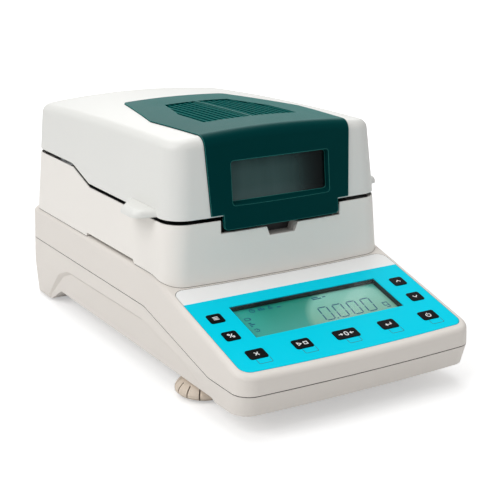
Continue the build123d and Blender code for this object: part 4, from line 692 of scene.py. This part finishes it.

# %% [markdown]
# The window in the lid is smoked. Behind it lies the dark inside of the lid, and the picture shows
# little but a soft grey-green sheen, paler low down, with faint upright streaks, that fades to near
# black on the right. That sheen is a reflection, painted into the pane's colour, and the near black is
# painted shade for the dark inside seen through it. The pane keeps a little see-through. Its tone comes
# from a ramp over its height, one over its width and noise that is stretched upwards.

# %% Smoked window
streak_scale = (140.0, 140.0, 9.0)
window_low, window_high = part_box("window_glass")
smoked, smoked_tree, smoked_shader = new_material("smoked_window", 0.22, ior=1.25)
smoked_places = object_places(smoked_tree)
smoked_parts = split(smoked_tree, smoked_places)
up_window = share_of(smoked_tree, smoked_parts["Z"], window_low.z, window_high.z)
across_window = share_of(smoked_tree, smoked_parts["X"], window_low.x, window_high.x)
# Painted reflection: the sheen is paler low down.
painted_sheen_by_height = add_ramp(smoked_tree, up_window, [
    (0.0, srgb(76, 100, 100)), (0.35, srgb(62, 88, 87)), (0.7, srgb(60, 86, 85)),
    (1.0, srgb(44, 70, 70)),
])
sheen_left = add_ramp(smoked_tree, across_window, [
    (place, (share, share, share, 1))
    for place, share in ((0.0, 1.0), (0.5, 0.95), (0.66, 0.7), (0.80, 0.2), (0.92, 0.02))
])
upright = add_node(smoked_tree, "Mapping", {"Vector": smoked_places, "Scale": streak_scale})
streak = share_of(smoked_tree, add_noise(smoked_tree, upright.outputs[0], 1.0, 3.0), 0.4, 2.4)
painted_smoked_sheen = mix_colours(smoked_tree, streak, painted_sheen_by_height, srgb(84, 108, 106))
# Painted shade: to the right the sheen gives way to near black.
smoked_colour = mix_colours(smoked_tree, sheen_left, srgb(2, 10, 12), painted_smoked_sheen)
smoked_tree.links.new(smoked_colour, smoked_shader.inputs["Base Color"])
smoked_shader.inputs["Alpha"].default_value = 0.9
dress(smoked, "window_glass")
print("window is", round((window_high.x - window_low.x) / mm, 1), "mm wide")

# %% [markdown]
# The boards inside are never in plain view, but they get solder-mask green with copper-coloured
# paths, because a part in a library may be opened up.

# %% Circuit boards
board_green, board_tree, board_shader = new_material("board_green", 0.35, coat=0.3)
board_bricks = add_node(board_tree, "TexBrick", {
    "Vector": object_places(board_tree), "Scale": 70.0, "Mortar Size": 0.02,
    "Color1": srgb(18, 92, 52), "Color2": srgb(22, 104, 58), "Mortar": srgb(48, 130, 74),
})
board_tree.links.new(board_bricks.outputs["Color"], board_shader.inputs["Base Color"])
dress(board_green, "main_board", "power_board", "display_board")

bare = sorted(
    name for name, piece in nodes.items()
    if not piece.data.materials or not piece.data.materials[0].use_nodes
)
print("solids with no finish:", bare)

# %% [markdown]
# ## Strokes
#
# Key symbols, print lines and display digits are all strokes: a small profile carried along a flat
# path. They could be curve objects with a bevel, but a grid worked out as whole arrays is exact at its
# corners. At each point of the path the two edges lie half a width to either side along the mitre,
# which is (n1 + n2) / (1 + n1.n2) for the normals of the two runs that meet there.


# %% Strokes as arrays
def run_normals(path):
    """Unit normals of the runs between neighbouring points: the run turned left by a right angle."""
    runs = np.diff(path, axis=0)
    runs /= np.linalg.norm(runs, axis=1, keepdims=True)
    return np.stack((-runs[:, 1], runs[:, 0]), axis=1)


def stroke(path, width, low, high, closed=False):
    """Grid (points, 4, 3) of a flat bar along path, from height low to high, all in millimetres.

    Row k holds the path's point k moved by -m, +m, +m, -m times half the width, where m is the mitre.
    """
    path = np.asarray(path, float)
    ring = np.vstack((path, path[:1])) if closed else path
    normals = run_normals(ring)
    if closed:
        before, after = np.roll(normals, 1, axis=0), normals
    else:
        before, after = np.vstack((normals[:1], normals)), np.vstack((normals, normals[-1:]))
    mitre = (before + after) / (1 + np.sum(before * after, axis=1, keepdims=True))
    half = mitre * np.reshape(np.broadcast_to(width, len(path)), (-1, 1)) / 2
    edges = np.stack((path - half, path + half, path + half, path - half), axis=1)
    heights = np.broadcast_to(np.array((low, low, high, high)), edges.shape[:2])
    return np.concatenate((edges, heights[..., None]), axis=2), closed


def grid_faces(points, sides, closed, first):
    """Four-sided faces between neighbouring rows of a grid, and end caps where it is open."""
    rows = np.arange(points if closed else points - 1)[:, None]
    cols = np.arange(sides)[None, :]
    here, there = rows * sides, ((rows + 1) % points) * sides
    side = (cols + 1) % sides
    faces = np.stack((here + cols, here + side, there + side, there + cols), axis=-1).reshape(-1, 4)
    if not closed:
        start, end = np.arange(sides)[::-1], (points - 1) * sides + np.arange(sides)
        faces = np.vstack((faces, start, end))
    return faces[:, ::-1] + first


def stroke_piece(name, strokes, place, material, body):
    """One mesh object from many strokes, put on the panel by place(), riding on a body."""
    corners, faces, first = [], [], 0
    for grid, closed in strokes:
        points, sides = grid.shape[:2]
        corners.append(place(grid.reshape(-1, 3)))
        faces.append(grid_faces(points, sides, closed, first))
        first += points * sides
    mesh = bpy.data.meshes.new(name)
    mesh.from_pydata(np.vstack(corners).tolist(), [], np.vstack(faces).tolist())
    mesh.materials.append(material)
    piece = bpy.data.objects.new(name, mesh)
    bpy.context.scene.collection.objects.link(piece)
    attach(piece, body)


def arc(centre, radius, start, end, count=20):
    """Points on a circle from one angle to another, in degrees: centre + radius (cos a, sin a)."""
    angles = np.radians(np.linspace(start, end, count))
    return np.array(centre) + radius * np.stack((np.cos(angles), np.sin(angles)), axis=1)


def round_box(width, height, radius, count=5):
    """Closed outline of a rectangle with rounded corners, anticlockwise about its middle."""
    across_half, up_half = width / 2 - radius, height / 2 - radius
    middles = [(across_half * x, up_half * y) for x, y in ((1, 1), (-1, 1), (-1, -1), (1, -1))]
    return np.vstack([arc(c, radius, 90 * k, 90 * k + 90, count) for k, c in enumerate(middles)])


def printed(path, width, level, proud=0.04, closed=False):
    """A stroke on the surface at level: it starts print_root under it and stands proud over it."""
    return stroke(path, width, level - print_root, level + proud, closed)


print_root = 0.01
square = [(0, 0), (1, 0), (1, 1), (0, 1)]
print("a closed square has rows and corners", printed(square, 0.1, 0.0, closed=True)[0].shape[:2])

# %% [markdown]
# ## Symbols on the keys
#
# Each key carries one plain white symbol, such as such instruments have: a list, a percent sign, up
# and down, cancel, start and stop, zero, enter, and the standby ring. They are printed, so they stand
# a few hundredths of a millimetre proud and travel with their key.

# %% Key symbols
symbol_width = 0.72
symbols = {
    "key_left_upper": [[(-2.2, y), (2.2, y)] for y in (-1.5, 0.0, 1.5)],
    "key_left_lower": [
        [(-1.7, -2.0), (1.7, 2.0)], arc((-1.4, 1.4), 0.75, 0, 360), arc((1.4, -1.4), 0.75, 0, 360),
    ],
    "key_right_upper": [[(-2.0, -0.9), (0.0, 1.1), (2.0, -0.9)]],
    "key_right_lower": [[(-2.0, 0.9), (0.0, -1.1), (2.0, 0.9)]],
    "key_row_1": [[(-1.6, -1.6), (1.6, 1.6)], [(-1.6, 1.6), (1.6, -1.6)]],
    "key_row_2": [
        [(-4.0, -1.6), (-4.0, 1.6), (-1.2, 0.0), (-4.0, -1.6), (-4.0, 0.0)],
        [(1.2, -1.4), (4.0, -1.4), (4.0, 1.4), (1.2, 1.4), (1.2, -1.4), (2.4, -1.4)],
    ],
    "key_row_3": [
        round_box(2.6, 4.0, 1.29), [(-6.6, 0), (-3.4, 0)], [(-4.6, 1.1), (-3.4, 0), (-4.6, -1.1)],
        [(6.6, 0), (3.4, 0)], [(4.6, 1.1), (3.4, 0), (4.6, -1.1)],
    ],
    "key_row_4": [[(2.6, 1.8), (2.6, -0.6), (-2.4, -0.6)], [(-1.1, 0.7), (-2.4, -0.6), (-1.1, -1.9)]],
    "key_row_5": [arc((0, -0.2), 2.0, 125, 415, 28), [(0, 0.3), (0, 2.5)]],
}
closed_symbols = {"key_row_3"}
symbol_white, _, symbol_shader = new_material("symbol_white", 0.4)
symbol_shader.inputs["Base Color"].default_value = srgb(246, 248, 248)
for name, paths in symbols.items():
    low, high = key_spans[name]
    middle_uv = (low[:2] + high[:2]) / 2
    strokes = []
    for place, path in enumerate(paths):
        loop = name in closed_symbols and place == 0
        strokes.append(printed(np.asarray(path) + middle_uv, symbol_width, high[2], closed=loop))
    stroke_piece("symbol_" + name, strokes, on_panel, symbol_white, name)
print("symbols on", len(symbols), "keys")

# %% [markdown]
# Under each key of the lower row the film has a small outlined box, open at the top where it meets the
# key. Its line is dark blue-grey and very thin.

# %% Boxes under the lower keys
box_width = 11.0
box_bottom = 8.5
box_shift = 1.8
box_line = 0.38
box_corner = 1.0
box_starts = 0.5
line_ink, _, ink_shader = new_material("line_ink", 0.5)
ink_shader.inputs["Base Color"].default_value = srgb(18, 70, 92)
box_strokes = []
for name in (n for n in key_names if "row" in n):
    low, high = key_spans[name]
    box_top = low[1] + box_starts
    centre = (low[0] + high[0]) / 2 + box_shift
    left, right_side = centre - box_width / 2, centre + box_width / 2
    outline = np.vstack((
        [(left, box_top)],
        arc((left + box_corner, box_bottom + box_corner), box_corner, 180, 270, 5),
        arc((right_side - box_corner, box_bottom + box_corner), box_corner, 270, 360, 5),
        [(right_side, box_top)],
    ))
    box_strokes.append(printed(outline, box_line, 0.0))
stroke_piece("film_boxes", box_strokes, on_panel, line_ink, "base")
print("boxes", len(box_strokes))

# %% [markdown]
# ## What the display shows
#
# Four zeros with a point after the first. Each zero is six bars with pointed ends, leaning a little,
# drawn in the blue of an unlit liquid crystal. A few small marks stand in the upper left and along
# the left edge: a ring, bars and a bracket, with no letters.

# %% Digits and marks
digit_width = 7.8
digit_height = 16.0
digit_pitch = 13.0
first_digit_u = 0.5
digits_v = 43.8
segment_width = 1.1
segment_space = 0.35
segment_point = 0.06
lean = 0.10
point_gap, point_size = 2.4, 1.2
digits_proud = 0.03
plate_level = panel_span("lcd_glass")[1][2]
digit_blue, _, digit_shader = new_material("digit_blue", 0.35)
digit_shader.inputs["Base Color"].default_value = srgb(20, 104, 142)


def segment(start, end):
    """A bar from start to end with pointed ends: width 0, full, full, 0 along four points."""
    start, end = np.array(start, float), np.array(end, float)
    along = (end - start) / np.linalg.norm(end - start)
    start, end = start + along * segment_space, end - along * segment_space
    tip = along * segment_width / 2
    path = np.array((start, start + tip, end - tip, end))
    return path, np.array((segment_point, segment_width, segment_width, segment_point))


def leaning(path, base_v):
    """Moves each point to the right by the lean times its height over base_v."""
    path = np.asarray(path, float)
    return path + np.stack((lean * (path[:, 1] - base_v), np.zeros(len(path))), axis=1)


display_strokes = []
for place in range(4):
    left = first_digit_u + place * digit_pitch
    right_side, half_up, top = left + digit_width, digits_v + digit_height / 2, digits_v + digit_height
    for start, end in (
        ((left, digits_v), (right_side, digits_v)), ((left, top), (right_side, top)),
        ((left, digits_v), (left, half_up)), ((left, half_up), (left, top)),
        ((right_side, digits_v), (right_side, half_up)), ((right_side, half_up), (right_side, top)),
    ):
        path, widths = segment(start, end)
        display_strokes.append(printed(leaning(path, digits_v), widths, plate_level, digits_proud))
point_u = first_digit_u + digit_width + point_gap
point = [(point_u - point_size / 2, digits_v), (point_u + point_size / 2, digits_v)]
display_strokes.append(printed(point, point_size, plate_level, digits_proud))
mark_weight = 1.4
marks = [
    (arc((-48, 72.4), 2.0, 0, 360, 20), 0.5), ([(-48, 72.4), (-48, 73.7)], 0.5),
    ([(-48, 72.4), (-47, 72.4)], 0.5), ([(-42, 70.8), (-42, 74)], 0.9),
    ([(-40, 70.8), (-40, 74.8)], 0.9), ([(-38, 70.8), (-38, 73)], 0.9),
    ([(-34, 71), (-32.4, 74.4), (-30.8, 71), (-34, 71)], 0.5), ([(-27, 71), (-23.5, 71)], 0.9),
    ([(-59, 65), (-55, 65), (-55, 62.4), (-59, 62.4), (-59, 65)], 0.5),
    ([(-54.4, 64.3), (-54.4, 63.1)], 0.5), ([(-59, 58.8), (-56.4, 58.8)], 0.9),
    ([(-59, 56.8), (-54.6, 56.8)], 0.9), ([(-59, 54.8), (-57.4, 54.8)], 0.9),
    (arc((-57, 49.4), 1.8, 200, 520, 18), 0.5), ([(-57, 49.4), (-55.8, 50.6)], 0.5),
    ([(5, 73), (11, 73)], 0.8), ([(5, 71), (13, 71)], 0.8), ([(14.5, 72), (17.5, 72)], 0.8),
    ([(56, 46.4), (60, 46.4), (60, 50.4), (56, 50.4), (56, 46.4)], 0.6),
    ([(60, 46.4), (60, 44.2), (56.6, 44.2)], 0.6),
]
for path, width in marks:
    display_strokes.append(printed(path, mark_weight * width, plate_level, digits_proud))
stroke_piece("display_marks", display_strokes, on_panel, digit_blue, "base")
print("display strokes", len(display_strokes))
